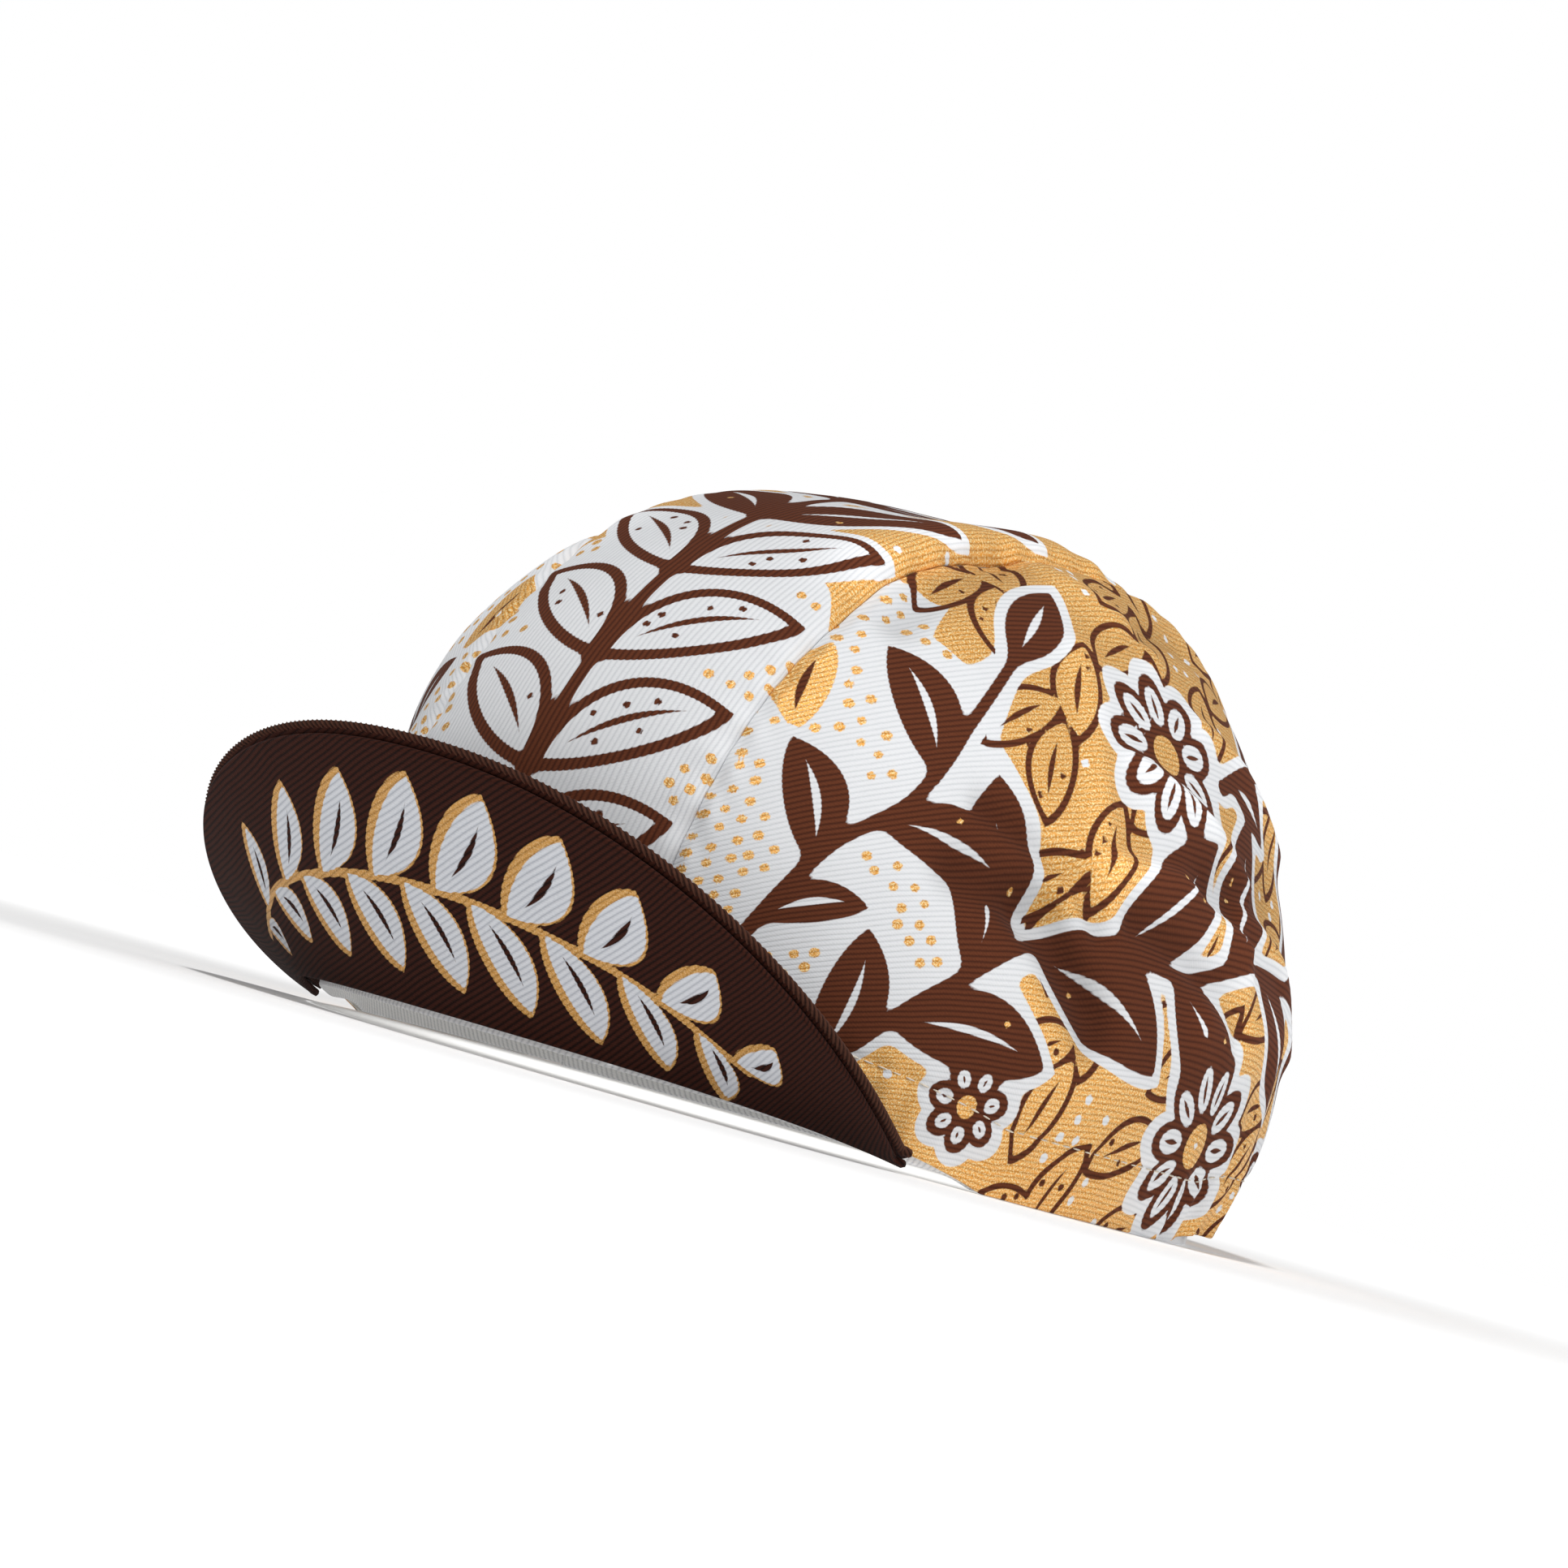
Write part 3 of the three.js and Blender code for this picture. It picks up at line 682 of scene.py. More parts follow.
def side_panel(name, side, stations=320, rows=140, tip=0.006):
    """A side panel, from its hem up to the seam."""
    share = np.linspace(tip, 1 - tip, stations)
    foot = seam_direction(np.array(0.0), 1)
    first = math.degrees(math.atan2(foot[0], -foot[1]))
    rim_angle = math.degrees(RIM_BULGE / OPENING["half_width"])
    low = direction(side * (first + (180 - 2 * first) * share), rim_angle)
    high = seam_direction(share, side)
    span = np.linalg.norm(crown_point(low) - crown_point(high), axis=-1)
    top = np.clip(1 - (RIM_BULGE - SEWN_PRESS) / span, 0.5, 1)
    up = np.linspace(0, 1, rows)[None, :] * top[:, None]
    directions = unit(low[:, None] * (1 - up)[..., None] + high[:, None] * up[..., None])

    outer = crown_point(directions)
    normal = surface_normal(crown_point, directions)
    height = run_lengths(outer, 1)
    to_seam = height[:, -1:] - height
    along = run_lengths(crown_point(high)[:, None], 0)
    relief = seam_relief(to_seam, along) + stitch_relief(directions)
    outer = outer + normal * relief[..., None]

    middle = math.radians(PRINT_MIDDLE)
    centre, rearwards = direction(side * 90, PRINT_MIDDLE), np.array([0, 1, 0])
    upwards = np.array([-side * math.sin(middle), 0, math.cos(middle)])
    turn = np.arccos(np.clip(directions @ centre, -1, 1))
    u, v = directions @ rearwards, directions @ upwards
    reach = (np.linalg.norm(outer, axis=-1) + np.linalg.norm(crown_point(centre))) / 2
    scale = reach * turn / np.maximum(np.hypot(u, v), 1e-6)
    cloth = side_print(u * scale, v * scale)
    add_dots(cloth, side_print, DOTS, "dot", choose_dots)
    add_dots(cloth, side_print, BROWN_DOTS, "brown_dot", choose_brown_dots)
    cloth.fold = worn_height(directions)
    uv = np.stack([cloth.u, cloth.v], axis=-1)
    return rounded_wall(name, outer, outer - normal * CLOTH, uv, cloth)


def middle_panel(name, columns=81, stations=420):
    """The middle panel, from the front hem over the top to the rear hem."""
    edge = 1 - (RIM_BULGE - SEWN_PRESS) / MIDDLE_HALF_WIDTH
    across = np.linspace(-edge, edge, columns)
    start = RIM_BULGE / MIDDLE_LENGTH
    share = np.linspace(start, 1 - start, stations)
    left, right = seam_direction(share, 1), seam_direction(share, -1)
    mix = ((across + 1) / 2)[:, None, None]
    directions = unit(right[None] * (1 - mix) + left[None] * mix)

    outer = crown_point(directions)
    normal = surface_normal(crown_point, directions)
    run = run_lengths(outer, 1)
    to_seam = ((1 - np.abs(across)) * MIDDLE_HALF_WIDTH)[:, None]
    relief = seam_relief(to_seam, run[:1]) + stitch_relief(directions)
    outer = outer + normal * relief[..., None]

    centre_run = run[columns // 2]
    u = (across * MIDDLE_HALF_WIDTH)[:, None] + 0 * run
    v = centre_run[None] + 0 * run

    def draw(x, y):
        return middle_print(x, y, centre_run[-1])

    cloth = draw(u, v)
    add_dots(cloth, draw, DOTS, "dot", choose_dots)
    add_dots(cloth, draw, BROWN_DOTS, "brown_dot", choose_brown_dots)
    cloth.fold = worn_height(directions)
    return rounded_wall(name, outer, outer - normal * CLOTH, np.stack([u, v], axis=-1), cloth)


def peak_sheet(overlap, columns, rows):
    """Points over the peak from its fold to its edge, their heights, and which way is out."""
    along = np.linspace(-1, 1, columns)
    depth = PEAK["depth"] * (1 - np.abs(along) ** PEAK["bluntness"]) ** PEAK["taper"]
    depth = np.maximum(depth, COVER["end_depth"]) + overlap - RIM_BULGE
    height = RIM_BULGE + (depth - RIM_BULGE)[:, None] * np.linspace(0, 1, rows)[None]
    foot = crown_point(direction(along * PEAK["half_angle"], 0))
    slope = [1 / OPENING["half_width"] ** 2, 1 / OPENING["half_length"] ** 2, 0]
    level = unit(foot * slope)
    lean = np.radians(PEAK["lean"] + PEAK["end_lean"] * along ** 2)[:, None]
    up = level * np.sin(lean) + np.cos(lean) * [0, 0, 1]
    face = level * np.cos(lean) - np.sin(lean) * [0, 0, 1]
    base = foot + level * COVER["stand_off"]
    return base[:, None] + up[:, None] * height[..., None], height, face[:, None]


def flat_cut(sheet, height):
    """Where points of the peak lie on its cloth when it is laid flat, in front of its middle."""
    middle = len(sheet) // 2
    steps = np.linalg.norm(np.diff(sheet[:, [0, -1]], axis=0), axis=-1)
    rise = (height[1:, -1] + height[:-1, -1]) / 2
    turn = np.concatenate([[0], np.cumsum((steps[:, 1] - steps[:, 0]) / rise)])
    turn = turn - turn[middle]
    heading = (turn[1:] + turn[:-1]) / 2
    foot = np.cumsum(np.stack([np.cos(heading), -np.sin(heading)], axis=-1) * steps[:, :1], axis=0)
    foot = np.concatenate([[[0, 0]], foot])
    up = np.stack([np.sin(turn), np.cos(turn)], axis=-1)
    return (foot - foot[middle])[:, None] + up[:, None] * height[..., None]


def peak_cover(name, out, overlap, printed, columns=340, rows=92):
    """One cover of the turned-up peak, with its two faces at distances out from the crown's side."""
    sheet, height, face = peak_sheet(overlap, columns, rows)
    outer, inner = (sheet + face * distance for distance in out)
    across = run_lengths(outer, 0)
    across = across - across[columns // 2]
    cloth = peak_print(across, height) if printed else None
    return rounded_wall(name, outer, inner, flat_cut(outer, height), cloth)


def peak_edge():
    """The line along the edge of the peak's top cover."""
    sheet, _, face = peak_sheet(COVER["overlap"], 400, 2)
    return (sheet + face * COVER["cloth"] / 2)[:, -1]


def strip(name, azimuth, bottom, size, rows=18):
    """A strip inside the hem at some azimuths, with its lower edge at a height for each."""
    foot = smooth_point(direction(azimuth, 0))
    z = bottom[:, None] + RIM_BULGE + (size["height"] - 2 * RIM_BULGE) * np.linspace(0, 1, rows)[None]
    elevation = np.degrees(np.arctan2(np.maximum(0, z - foot[:, 2:]), np.hypot(*foot[:, :2].T)[:, None]))
    directions = direction(azimuth[:, None], elevation)
    outwards = unit(surface_normal(smooth_point, directions) * [1, 1, 0])
    faces = []
    for inset in (0, size["cloth"]):
        face = smooth_point(directions) - outwards * (CLOTH + BAND["clearance"] + inset)
        face[..., 2] = z
        faces.append(face)
    uv = np.stack([run_lengths(faces[0], 0), z - bottom[:, None]], axis=-1)
    return rounded_wall(name, faces[0], faces[1], uv)


def inner_band(name):
    azimuth = np.linspace(-BAND["half_angle"], BAND["half_angle"], 280)
    drop = BAND_DROP["depth"] * (1 - smoothstep(np.abs(azimuth), BAND_DROP["start"], BAND_DROP["end"]))
    rise = hem_rise(azimuth) * (np.abs(azimuth) < HEM["front_end"])
    return strip(name, azimuth, np.maximum(COVER["gap"], rise - drop), BAND)


def rear_elastic(name):
    azimuth = np.linspace(ELASTIC["start"], 360 - ELASTIC["start"], 220)
    return strip(name, azimuth, np.zeros_like(azimuth), ELASTIC)


def stitch_line():
    """The closed line along which the hem is stitched, just above the dip that the thread makes."""
    azimuth = np.linspace(-180, 180, 720, endpoint=False)
    low, high = np.zeros(azimuth.shape), np.full(azimuth.shape, 20.0)
    for _ in range(24):
        middle = (low + high) / 2
        height = crown_point(direction(azimuth, middle))[:, 2] - hem_rise(azimuth)
        low = np.where(height < STITCH_LINE["height"], middle, low)
        high = np.where(height < STITCH_LINE["height"], high, middle)
    directions = direction(azimuth, low)
    lift = stitch_relief(directions) + STITCH_LIFT
    return crown_point(directions) + surface_normal(crown_point, directions) * lift[:, None]


def node(tree, kind, inputs=None, output=0, **settings):
    """Add a node with its settings, link or set its inputs, hex colours too, and give one output."""
    made = tree.nodes.new(kind)
    for name, value in settings.items():
        setattr(made, name, value)
    for key, value in (inputs or {}).items():
        if isinstance(value, bpy.types.NodeSocket):
            tree.links.new(value, made.inputs[key])
        else:
            is_colour = isinstance(value, str) and value.startswith("#")
            made.inputs[key].default_value = linear(value) if is_colour else value
    return made.outputs[output] if made.outputs else made


def new_material(name):
    material = bpy.data.materials.new(name)
    material.use_nodes = True
    material.node_tree.nodes.clear()
    return material


# The corded twill, in millimetres: the distance between its ribs, how far they wander, and the
# length of a yarn's float on a rib. The floats are coarser than real ones, so that they show. Their
# pattern leans by a share of the way across the ribs. The heights of floats and of fuzz are shares
# of a rib's height.
RIB = {"pitch": 1.05, "wander": 1.6, "roundness": 0.75}
FLOAT = {"length": 0.62, "lean": 0.8, "height": 0.07}
FUZZ_ON_RIB = 0.6

# How many specks of each kind lie along a millimetre. Real fuzz, pearl flakes and plies are
# several times finer than these, and would not show.
SPECKS = {"fuzz": 2.2, "flakes_and_glints": 2.6, "plies": 2.5}
FUZZ_HEIGHT = 0.08

# Slow changes of the cloth's tone and of its ribs, in patches some 20 mm wide.
PATCHES = {"scale": 0.05, "low": 0.94, "high": 1.04}

# How bright the cloth is painted in a dent and on a ridge of this height: painted shade in the dent
# and a painted highlight on the ridge. On flat cloth that is 1.
FOLD_SHADE = {"height": 2.6, "dent": 0.74, "ridge": 1.26}

# Cotton is matt, with a little fuzz that catches the light. The pearly ink is smoother and a
# little metallic. An ink's edge is blurred by this many millimetres to each side.
COTTON = {"Specular IOR Level": 0.12, "Sheen Weight": 0.03, "Sheen Roughness": 0.4}
COTTON_ROUGHNESS = 0.88
PEARL = {"metallic": 0.3, "roughness": 0.48, "relief": 0.5}
INK_BLUR = 0.1


def twill_ribs(tree, turn):
    """The twill's relief, from about 0 in a groove to 1 on a rib, and the map it is drawn on."""
    uv = node(tree, "ShaderNodeUVMap", uv_map="cloth")
    turned = node(tree, "ShaderNodeVectorRotate", {"Vector": uv, "Angle": -math.radians(turn)},
                  rotation_type="Z_AXIS")
    along = node(tree, "ShaderNodeSeparateXYZ", {0: turned}, 0)
    across = node(tree, "ShaderNodeSeparateXYZ", {0: turned}, 1)
    drift = node(tree, "ShaderNodeTexNoise", {"Vector": uv, "Scale": PATCHES["scale"], "Detail": 1.0})
    shift = node(tree, "ShaderNodeMath", {0: drift, 1: RIB["wander"], 2: across}, operation="MULTIPLY_ADD")
    phase = node(tree, "ShaderNodeMath", {0: shift, 1: math.pi / RIB["pitch"]}, operation="MULTIPLY")
    wave = node(tree, "ShaderNodeMath", {0: phase}, operation="SINE")
    size = node(tree, "ShaderNodeMath", {0: wave}, operation="ABSOLUTE")
    rib = node(tree, "ShaderNodeMath", {0: size, 1: RIB["roundness"]}, operation="POWER")
    lean = node(tree, "ShaderNodeMath", {0: across, 1: FLOAT["lean"], 2: along}, operation="MULTIPLY_ADD")
    twist = node(tree, "ShaderNodeMath", {0: lean, 1: 2 * math.pi / FLOAT["length"]}, operation="MULTIPLY")
    floats = node(tree, "ShaderNodeMath", {0: twist}, operation="SINE")
    fibres = node(tree, "ShaderNodeTexNoise", {"Vector": uv, "Scale": SPECKS["fuzz"], "Detail": 2.0})
    relief = node(tree, "ShaderNodeMath", {0: floats, 1: FLOAT["height"], 2: rib}, operation="MULTIPLY_ADD")
    fuzz = node(tree, "ShaderNodeMath", {0: fibres, 1: FUZZ_ON_RIB, 2: -FUZZ_ON_RIB / 2},
                operation="MULTIPLY_ADD")
    return uv, node(tree, "ShaderNodeMath", {0: relief, 1: fuzz}, operation="ADD")


def cloth_with_shaded_grooves(tree, relief, tones, low=0.15, high=1.0):
    """A dark tone in the grooves, which paints in the shade that falls there, and a light one on the ribs.
    """
    rib_share = node(tree, "ShaderNodeMapRange", {"Value": relief, "From Min": low, "From Max": high})
    return node(tree, "ShaderNodeMix", {"Factor": rib_share, 6: tones[0], 7: tones[1]}, 2, data_type="RGBA")


def cloth_surface(tree, colour, relief, rib_height, roughness=COTTON_ROUGHNESS, metallic=0.0):
    """The soft surface that all the cloths share: ribs in relief under a little fuzz."""
    bump = node(tree, "ShaderNodeBump", {"Height": relief, "Distance": rib_height * MM, "Strength": 1.0})
    surface = node(tree, "ShaderNodeBsdfPrincipled", {
        "Base Color": colour, "Metallic": metallic, "Roughness": roughness, "Normal": bump, **COTTON})
    node(tree, "ShaderNodeOutputMaterial", {"Surface": surface})


def inside(tree, distance, limit, ragged):
    """1 where a distance is below a limit, with an edge that follows the ribs a little."""
    edge = node(tree, "ShaderNodeMath", {0: distance, 1: ragged}, operation="ADD")
    ends = {"From Min": limit + INK_BLUR, "From Max": limit - INK_BLUR}
    return node(tree, "ShaderNodeMapRange", {"Value": edge, **ends})


def without(tree, mask, other):
    """A mask where another one isn't."""
    rest = node(tree, "ShaderNodeMath", {0: 1.0, 1: other}, operation="SUBTRACT")
    return node(tree, "ShaderNodeMath", {0: mask, 1: rest}, operation="MULTIPLY")


def printed_twill(name, tones, turn, rib_height):
    """Bleached cotton twill, screen-printed with a pearly ochre ink and a flat brown one."""
    # The eye gets fine pale cords, a brown that sinks into them and stays matt, an ochre that
    # glitters along them, and edges of the drawing that step a little from cord to cord.
    material = new_material(name)
    tree = material.node_tree
    uv, relief = twill_ribs(tree, turn)
    drawn = {layer: node(tree, "ShaderNodeAttribute", output="Fac", attribute_name=layer)
             for layer in STORED_LAYERS}
    ragged = node(tree, "ShaderNodeMath", {0: relief, 1: -2 * rib_height, 2: rib_height},
                  operation="MULTIPLY_ADD")

    white = cloth_with_shaded_grooves(tree, relief, tones["white"])
    brown = cloth_with_shaded_grooves(tree, relief, tones["brown"], 0.35, 1.1)
    gold = cloth_with_shaded_grooves(tree, relief, tones["gold"])
    # Painted glints: specks of the pearly ochre, weaker in the grooves, take a pale glint tone in the
    # colour, as where light catches a flake. The same specks also raise the ink a little.
    grain = node(tree, "ShaderNodeTexNoise", {
        "Vector": uv, "Scale": SPECKS["flakes_and_glints"], "Detail": 2.0, "Roughness": 0.8})
    flakes_and_glints = node(tree, "ShaderNodeMapRange", {"Value": grain, "From Min": 0.47, "From Max": 0.62})
    on_rib = node(tree, "ShaderNodeMapRange", {
        "Value": relief, "From Min": 0.1, "From Max": 0.8, "To Min": 0.5})
    flakes_and_glints = node(tree, "ShaderNodeMath", {0: flakes_and_glints, 1: on_rib}, operation="MULTIPLY")
    gold = node(tree, "ShaderNodeMix", {"Factor": flakes_and_glints, 6: gold, 7: tones["glint"]}, 2, data_type="RGBA")

    margin = inside(tree, drawn["front"], MARGIN, ragged)
    area, front, heart, bare, dot, brown_dot = (
        inside(tree, drawn[layer], 0.0, ragged)
        for layer in ("gold", "front", "heart", "bare", "dot", "brown_dot"))
    from_vein = node(tree, "ShaderNodeMath", {0: drawn["vein"]}, operation="ABSOLUTE")
    from_vein = node(tree, "ShaderNodeMath", {0: from_vein, 1: drawn["vein_half"]}, operation="SUBTRACT")
    vein = inside(tree, from_vein, 0.0, ragged)
    from_line = node(tree, "ShaderNodeMath", {0: drawn["line"]}, operation="ABSOLUTE")
    line = without(tree, inside(tree, from_line, LINE_HALF, ragged), margin)
    on_brown = without(tree, without(tree, front, heart), bare)
    vein_ink = node(tree, "ShaderNodeMix", {"Factor": on_brown, 6: brown, 7: white}, 2, data_type="RGBA")

    # Each layer lies over the ones before it, with its ink and how much of a pearl that is.
    colour, pearl = white, 0.0
    layers = (
        (area, gold, 1.0),
        (line, brown, 0.0),
        (margin, white, 0.0),
        (front, brown, 0.0),
        (heart, gold, 1.0),
        (bare, white, 0.0),
        (vein, vein_ink, 0.0),
    )
    for mask, ink, shine in layers:
        colour = node(tree, "ShaderNodeMix", {"Factor": mask, 6: colour, 7: ink}, 2, data_type="RGBA")
        pearl = node(tree, "ShaderNodeMix", {"Factor": mask, 2: pearl, 3: shine}, data_type="FLOAT")
    dot_pearl = node(tree, "ShaderNodeMath", {0: 1.0, 1: pearl}, operation="SUBTRACT")
    dot_ink = node(tree, "ShaderNodeMix", {"Factor": pearl, 6: gold, 7: white}, 2, data_type="RGBA")
    for mask, ink, shine in ((dot, dot_ink, dot_pearl), (brown_dot, brown, 0.0)):
        colour = node(tree, "ShaderNodeMix", {"Factor": mask, 6: colour, 7: ink}, 2, data_type="RGBA")
        pearl = node(tree, "ShaderNodeMix", {"Factor": mask, 2: pearl, 3: shine}, data_type="FLOAT")

    cloudy = node(tree, "ShaderNodeTexNoise", {"Vector": uv, "Scale": PATCHES["scale"], "Detail": 2.0})
    patches = node(tree, "ShaderNodeMapRange", {
        "Value": cloudy, "To Min": PATCHES["low"], "To Max": PATCHES["high"]})
    # Painted shade in the folds' dents and a painted highlight on their ridges, times a slow random tone.
    shade = node(tree, "ShaderNodeMapRange", {
        "Value": drawn["fold"], "From Min": -FOLD_SHADE["height"], "From Max": FOLD_SHADE["height"],
        "To Min": FOLD_SHADE["dent"], "To Max": FOLD_SHADE["ridge"]})
    shade = node(tree, "ShaderNodeMath", {0: shade, 1: patches}, operation="MULTIPLY")
    colour = node(tree, "ShaderNodeVectorMath", {0: colour, 3: shade}, operation="SCALE")

    metallic = node(tree, "ShaderNodeMath", {0: pearl, 1: PEARL["metallic"]}, operation="MULTIPLY")
    roughness = node(tree, "ShaderNodeMapRange", {
        "Value": pearl, "To Min": COTTON_ROUGHNESS, "To Max": PEARL["roughness"]})
    raised = node(tree, "ShaderNodeMath", {0: flakes_and_glints, 1: pearl}, operation="MULTIPLY")
    raised = node(tree, "ShaderNodeMath", {0: raised, 1: PEARL["relief"], 2: relief},
                  operation="MULTIPLY_ADD")
    cloth_surface(tree, colour, raised, rib_height, roughness, metallic)
    return material


def plain_twill(name, tones, turn, rib_height):
    """Dyed or bleached cotton twill without print."""
    # The eye gets the same fine cords in one tone, darker between them, where shade is painted.
    material = new_material(name)
    tree = material.node_tree
    relief = twill_ribs(tree, turn)[1]
    cloth_surface(tree, cloth_with_shaded_grooves(tree, relief, tones), relief, rib_height)
    return material


def rolled_twill(tones):
    """The brown twill where it is rolled round the peak's edge: a strand for each rib."""
    # The eye gets a thin dark rope, with pale strands and nearly black grooves, where shade is painted.
    material = new_material("brown_dyed_cotton_twill_roll")
    tree = material.node_tree
    place = node(tree, "ShaderNodeTexCoord", output="Object")
    fibres = node(tree, "ShaderNodeTexNoise", {"Vector": place, "Scale": SPECKS["fuzz"] / MM, "Detail": 2.0})
    lobe = node(tree, "ShaderNodeAttribute", output="Fac", attribute_name="lobe")
    relief = node(tree, "ShaderNodeMath", {0: fibres, 1: 0.5, 2: lobe}, operation="MULTIPLY_ADD")
    cloth_surface(tree, cloth_with_shaded_grooves(tree, relief, tones, 0.2, 1.2), fibres, FUZZ_HEIGHT)
    return material


def sewing_thread(tones):
    """Spun polyester thread, a little darker between its plies."""
    # The eye gets small pale stitches with a faint gloss, against the matt cloth.
    material = new_material("spun_polyester_thread")
    tree = material.node_tree
    place = node(tree, "ShaderNodeTexCoord", output="Object")
    plies = node(tree, "ShaderNodeTexNoise", {"Vector": place, "Scale": SPECKS["plies"] / MM, "Detail": 1.0})
    colour = node(tree, "ShaderNodeMix", {"Factor": plies, 6: tones[0], 7: tones[1]}, 2, data_type="RGBA")
    surface = node(tree, "ShaderNodeBsdfPrincipled", {
        "Base Color": colour, "Roughness": 0.55, "Specular IOR Level": 0.4, "Sheen Weight": 0.1})
    node(tree, "ShaderNodeOutputMaterial", {"Surface": surface})
    return material


def tree_along_line(name, sizes):
    """An empty geometry tree with a line and some sizes as its inputs, and the line as a curve."""
    tree = bpy.data.node_groups.new(name, "GeometryNodeTree")
    tree.interface.new_socket("Line", in_out="INPUT", socket_type="NodeSocketGeometry")
    for size in sizes:
        tree.interface.new_socket(size, in_out="INPUT", socket_type="NodeSocketFloat")
    tree.interface.new_socket("Made", in_out="OUTPUT", socket_type="NodeSocketGeometry")
    given = tree.nodes.new("NodeGroupInput").outputs
    return tree, given, node(tree, "GeometryNodeMeshToCurve", {"Mesh": given["Line"]})


def end_tree(tree, made, material):
    """Make the instances real and smooth and give them their material."""
    solid = node(tree, "GeometryNodeRealizeInstances", {"Geometry": made})
    smooth = node(tree, "GeometryNodeSetShadeSmooth", {"Geometry": solid})
    finished = node(tree, "GeometryNodeSetMaterial", {"Geometry": smooth, "Material": material})
    node(tree, "NodeGroupOutput", {"Made": finished})


def stitch_tree(thread):
    """Geometry nodes that lay a row of rounded stitches along a line."""
    tree, given, curve = tree_along_line("row_of_stitches", STITCH)
    spaced = node(tree, "GeometryNodeResampleCurve",
                  {"Curve": curve, "Length": given["Pitch"]}, mode="LENGTH")
    ball = node(tree, "GeometryNodeMeshUVSphere", {"Segments": 8, "Rings": 5, "Radius": 0.5})
    size = node(tree, "ShaderNodeCombineXYZ",
                {0: given["Thickness"], 1: given["Thickness"], 2: given["Length"]})
    stitch = node(tree, "GeometryNodeTransform", {"Geometry": ball, "Scale": size})
    run = node(tree, "GeometryNodeInputTangent")
    turn = node(tree, "FunctionNodeAlignRotationToVector", {"Vector": run}, axis="Z")
    vary = node(tree, "FunctionNodeRandomValue", {2: 0.85, 3: 1.1, "Seed": 4}, 1, data_type="FLOAT")
    row = node(tree, "GeometryNodeInstanceOnPoints",
               {"Points": spaced, "Instance": stitch, "Rotation": turn, "Scale": vary})
    end_tree(tree, row, thread)
    return tree


def roll_tree(cloth):
    """Geometry nodes that sweep a lobed section along a line, turning as it goes."""
    tree, given, curve = tree_along_line("twisted_roll", ROLL)
    spaced = node(tree, "GeometryNodeResampleCurve",
                  {"Curve": curve, "Length": given["Step"]}, mode="LENGTH")
    run = node(tree, "GeometryNodeSplineParameter", output="Length")
    turns = node(tree, "ShaderNodeMath", {0: run, 1: given["Twist"]}, operation="DIVIDE")
    angle = node(tree, "ShaderNodeMath", {0: turns, 1: 2 * math.pi}, operation="MULTIPLY")
    turning = node(tree, "GeometryNodeSetCurveTilt", {"Curve": spaced, "Tilt": angle})
    section = node(tree, "GeometryNodeCurveStar", {
        "Points": ROLL_STRANDS, "Inner Radius": given["Groove"], "Outer Radius": given["Radius"]})
    place = node(tree, "GeometryNodeInputPosition")
    reach = node(tree, "ShaderNodeVectorMath", {0: place}, "Value", operation="LENGTH")
    lobe = node(tree, "ShaderNodeMapRange", {
        "Value": reach, "From Min": given["Groove"], "From Max": given["Radius"]})
    section = node(tree, "GeometryNodeStoreNamedAttribute",
                   {"Geometry": section, "Name": "lobe", "Value": lobe}, data_type="FLOAT")
    swept = node(tree, "GeometryNodeCurveToMesh",
                 {"Curve": turning, "Profile Curve": section, "Fill Caps": True})
    end_tree(tree, swept, cloth)
    return tree


def along_line(name, points, closed, tree, sizes):
    """A piece that a geometry tree makes along points in millimetres."""
    points = (points + [0, OPENING["centre_y"], 0]) * MM
    edges = [(k, k + 1) for k in range(len(points) - 1)]
    if closed:
        edges.append((len(points) - 1, 0))
    mesh = bpy.data.meshes.new(name)
    mesh.from_pydata(points.tolist(), edges, [])
    piece = bpy.data.objects.new(name, mesh)
    bpy.context.scene.collection.objects.link(piece)
    modifier = piece.modifiers.new(name, "NODES")
    modifier.node_group = tree
    for socket in tree.interface.items_tree:
        if socket.name in sizes:
            modifier[socket.identifier] = sizes[socket.name] * MM
    made = piece.evaluated_get(bpy.context.evaluated_depsgraph_get())
    mesh = bpy.data.meshes.new_from_object(made)
    cloths = [material for material in mesh.materials if material]
    mesh.materials.clear()
    for material in cloths:
        mesh.materials.append(material)
    piece.modifiers.clear()
    piece.data = mesh
    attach(piece, "root")


def dress(piece, node_name, slot, *materials):
    """Give a piece its materials and put it in the place of a node of the frame."""
    for material in materials:
        piece.data.materials.append(material)
    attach(piece, "root")
    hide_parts(node_name)


def add_camera():
    """The photograph's camera, moved up until it stands above the floor."""
    target = Vector(VIEW["target"])
    drop = target.z - VIEW["lens_height"]
    azimuth, lift = math.radians(VIEW["azimuth"]), -math.asin(drop / VIEW["distance"])
    back = Vector((math.sin(azimuth) * math.cos(lift), -math.cos(azimuth) * math.cos(lift), math.sin(lift)))
    level = Vector((math.cos(azimuth), math.sin(azimuth), 0))
    upright = back.cross(level)
    roll = math.radians(VIEW["roll"])
    right = level * math.cos(roll) + upright * math.sin(roll)
    up = upright * math.cos(roll) - level * math.sin(roll)
    pixel = VIEW["distance"] / (PICTURE * LENS["focal"] / LENS["sensor"])
    aside = right * (PICTURE / 2 - VIEW_PIXEL[0]) * pixel
    above = up * (VIEW_PIXEL[1] - PICTURE / 2) * pixel
    place = target + back * VIEW["distance"]
    look = (place - (target + aside + above)).normalized()
    right = (right - look * right.dot(look)).normalized()
    up = look.cross(right)
    data = bpy.data.cameras.new("view")
    data.lens = LENS["focal"]
    data.sensor_width = LENS["sensor"]
    camera = bpy.data.objects.new("view", data)
    turn = Matrix((right, up, look)).transposed().to_4x4()
    camera.matrix_world = Matrix.Translation(place * MM) @ turn
    bpy.context.scene.collection.objects.link(camera)
    bpy.context.scene.camera = camera


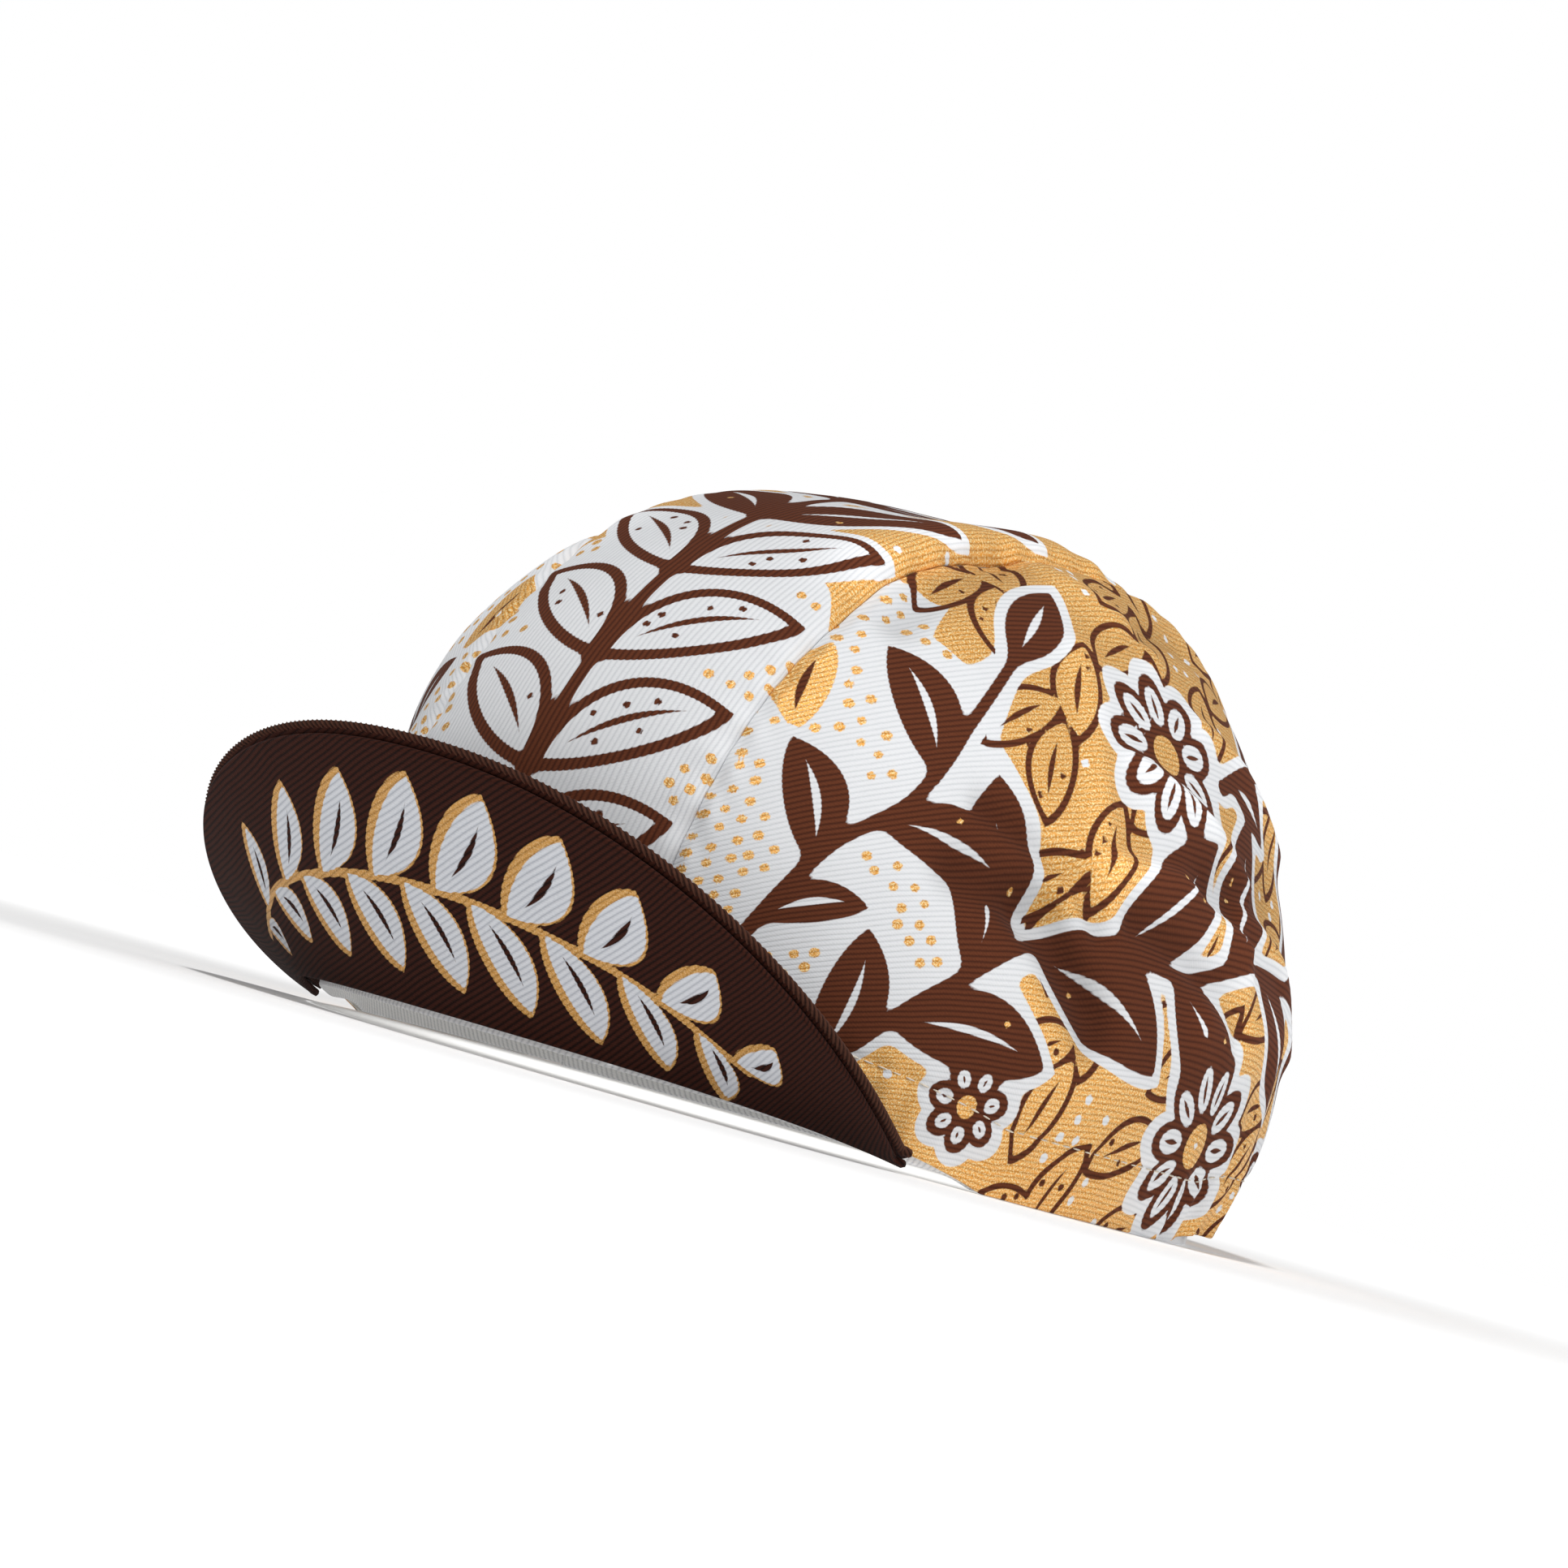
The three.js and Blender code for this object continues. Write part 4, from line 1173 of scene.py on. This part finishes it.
# The studio, in metres: where the floor's glow changes with the distance from the cap, how strong
# it is there, and the lights, which both point at the cap.
FLOOR_RADIUS = 3
SURROUND_RADIUS = 3.2
FLOOR_GLOW = {"near": 0.14, "far": 0.5, "low": 0.2, "high": 0.8}
GLOW_UNDER_CAP = {"near": 0.05, "far": 0.075}
WORLD_STRENGTH = 0.16
LIGHTS = {
    "key": {"place": (0.35, -1.0, 1.9), "size": 0.3, "power": 28},
    "fill": {"place": (1.6, 0.4, 0.55), "size": 0.8, "power": 9},
}
LIGHTS_AIM = (0, 0, 0.05)


def add_light(name, place, size, power):
    data = bpy.data.lights.new(name, "AREA")
    data.shape = "DISK"
    data.size = size
    data.energy = power
    light = bpy.data.objects.new(name, data)
    light.location = place
    away = Vector(LIGHTS_AIM) - Vector(place)
    light.rotation_euler = away.to_track_quat("-Z", "Y").to_euler()
    bpy.context.scene.collection.objects.link(light)


def stage_piece(name, material):
    """Name the shape that was just added and give it its material."""
    piece = bpy.context.object
    piece.name = name
    piece.data.materials.append(material)
    return piece


def add_stage():
    """A pale floor, a white surround that only the camera sees, and soft light all round."""
    # The floor is painted matt and glows a little, so that the eye sees a soft shadow beside the
    # cap and no horizon. The surround is an even white, like lit paper.
    matt_floor = new_material("pale_studio_floor")
    tree = matt_floor.node_tree
    place = node(tree, "ShaderNodeTexCoord", output="Object")
    far = node(tree, "ShaderNodeVectorMath", {0: place}, "Value", operation="LENGTH")
    around = node(tree, "ShaderNodeMapRange", {
        "Value": far, "From Min": FLOOR_GLOW["near"], "From Max": FLOOR_GLOW["far"],
        "To Min": FLOOR_GLOW["low"], "To Max": FLOOR_GLOW["high"]})
    beneath = node(tree, "ShaderNodeMapRange", {
        "Value": far, "From Min": GLOW_UNDER_CAP["near"], "From Max": GLOW_UNDER_CAP["far"],
        "To Min": FLOOR_GLOW["high"], "To Max": FLOOR_GLOW["low"]})
    glow = node(tree, "ShaderNodeMath", {0: around, 1: beneath}, operation="MAXIMUM")
    matt = node(tree, "ShaderNodeBsdfPrincipled", {
        "Base Color": "#F4F4F4", "Roughness": 0.9, "Specular IOR Level": 0.1,
        "Emission Color": "#FFFFFF", "Emission Strength": glow})
    node(tree, "ShaderNodeOutputMaterial", {"Surface": matt})
    bpy.ops.mesh.primitive_circle_add(vertices=96, radius=FLOOR_RADIUS, fill_type="NGON")
    stage_piece("floor", matt_floor)

    white = new_material("white_surround")
    tree = white.node_tree
    glow = node(tree, "ShaderNodeEmission", {"Color": "#FFFFFF", "Strength": 1.0})
    node(tree, "ShaderNodeOutputMaterial", {"Surface": glow})
    bpy.ops.mesh.primitive_uv_sphere_add(segments=64, ring_count=32, radius=SURROUND_RADIUS)
    surround = stage_piece("surround", white)
    for kind in ("diffuse", "glossy", "transmission", "volume_scatter", "shadow"):
        setattr(surround, f"visible_{kind}", False)

    world = bpy.data.worlds.new("soft_light")
    world.use_nodes = True
    tree = world.node_tree
    tree.nodes.clear()
    sky = node(tree, "ShaderNodeBackground", {"Color": "#FFFFFF", "Strength": WORLD_STRENGTH})
    node(tree, "ShaderNodeOutputWorld", {"Surface": sky})
    bpy.context.scene.world = world
    for name, light in LIGHTS.items():
        add_light(name, **light)
    bpy.context.scene.view_settings.view_transform = "Standard"


# The tones of each cloth and ink: in the grooves of the twill, darker with painted shade, and on its
# ribs, with a pale painted glint for the ochre's flakes. The peak's tones are darker copies of the
# side's, which paint in the peak's shade.
SIDE_TONES = {
    "white": ("#D6D8DB", "#E7E8EA"),
    "brown": ("#4A2516", "#673722"),
    "gold": ("#C0802F", "#EDA84E"),
    "glint": "#FFEDB6",
}
SHADED_PEAK_TONES = {
    "white": ("#BDC1C9", "#DCDEE3"),
    "brown": ("#1C0A06", "#3F1D13"),
    "gold": ("#A97838", "#D39C52"),
    "glint": "#E6BC80",
}
BACK_TONES = ("#C9C6C0", "#E9E7E2")
BAND_TONES = ("#D4D5D8", "#F6F6F7")
ROLL_TONES = ("#150704", "#5A382B")
THREAD_TONES = ("#B9A98F", "#F0E9DC")

# Which way the ribs run on each cloth, in degrees from along its map, and how high they stand.
RIBS = {
    "back": {"turn": 0, "rib_height": 0.08},
    "side": {"turn": 0, "rib_height": 0.06},
    "middle": {"turn": 90, "rib_height": 0.08},
    "peak": {"turn": 35, "rib_height": 0.09},
    "brown": {"turn": 35, "rib_height": 0.1},
    "band": {"turn": 60, "rib_height": 0.08},
}

add_camera()
add_stage()

back = plain_twill("bleached_cotton_twill_back", BACK_TONES, **RIBS["back"])
side_cloth = printed_twill("screen_printed_cotton_twill_side", SIDE_TONES, **RIBS["side"])
middle_cloth = printed_twill("screen_printed_cotton_twill_middle", SIDE_TONES, **RIBS["middle"])
peak_cloth = printed_twill("screen_printed_cotton_twill_peak", SHADED_PEAK_TONES, **RIBS["peak"])
brown_cloth = plain_twill("brown_dyed_cotton_twill", SHADED_PEAK_TONES["brown"], **RIBS["brown"])
band_cloth = plain_twill("white_cotton_twill_tape", BAND_TONES, **RIBS["band"])
roll_cloth = rolled_twill(ROLL_TONES)
thread = sewing_thread(THREAD_TONES)

dress(side_panel("left_side", 1), "left_panel", "crown_print", side_cloth, back)
dress(side_panel("right_side", -1), "right_panel", "crown_print", side_cloth, back)
dress(middle_panel("middle_strip"), "middle_panel", "crown_white", middle_cloth, back)

# How far out from the crown's side the two faces of each cover of the peak lie.
under = (2 * COVER["cloth"] + COVER["gap"], COVER["cloth"] + COVER["gap"])
over = (COVER["cloth"], 0)
dress(peak_cover("peak_under", under, 0, True), "peak_under_cover", "peak_print", peak_cloth, brown_cloth)
dress(peak_cover("peak_top", over, COVER["overlap"], False), "peak_top_cover", "peak_plain",
      brown_cloth, brown_cloth)
dress(inner_band("sweatband"), "inner_band", "band_white", band_cloth, band_cloth)
dress(rear_elastic("elastic"), "rear_elastic", "elastic_white", band_cloth, band_cloth)
along_line("hem_stitches", stitch_line(), True, stitch_tree(thread), STITCH)
along_line("peak_edge_roll", peak_edge(), False, roll_tree(roll_cloth), ROLL)
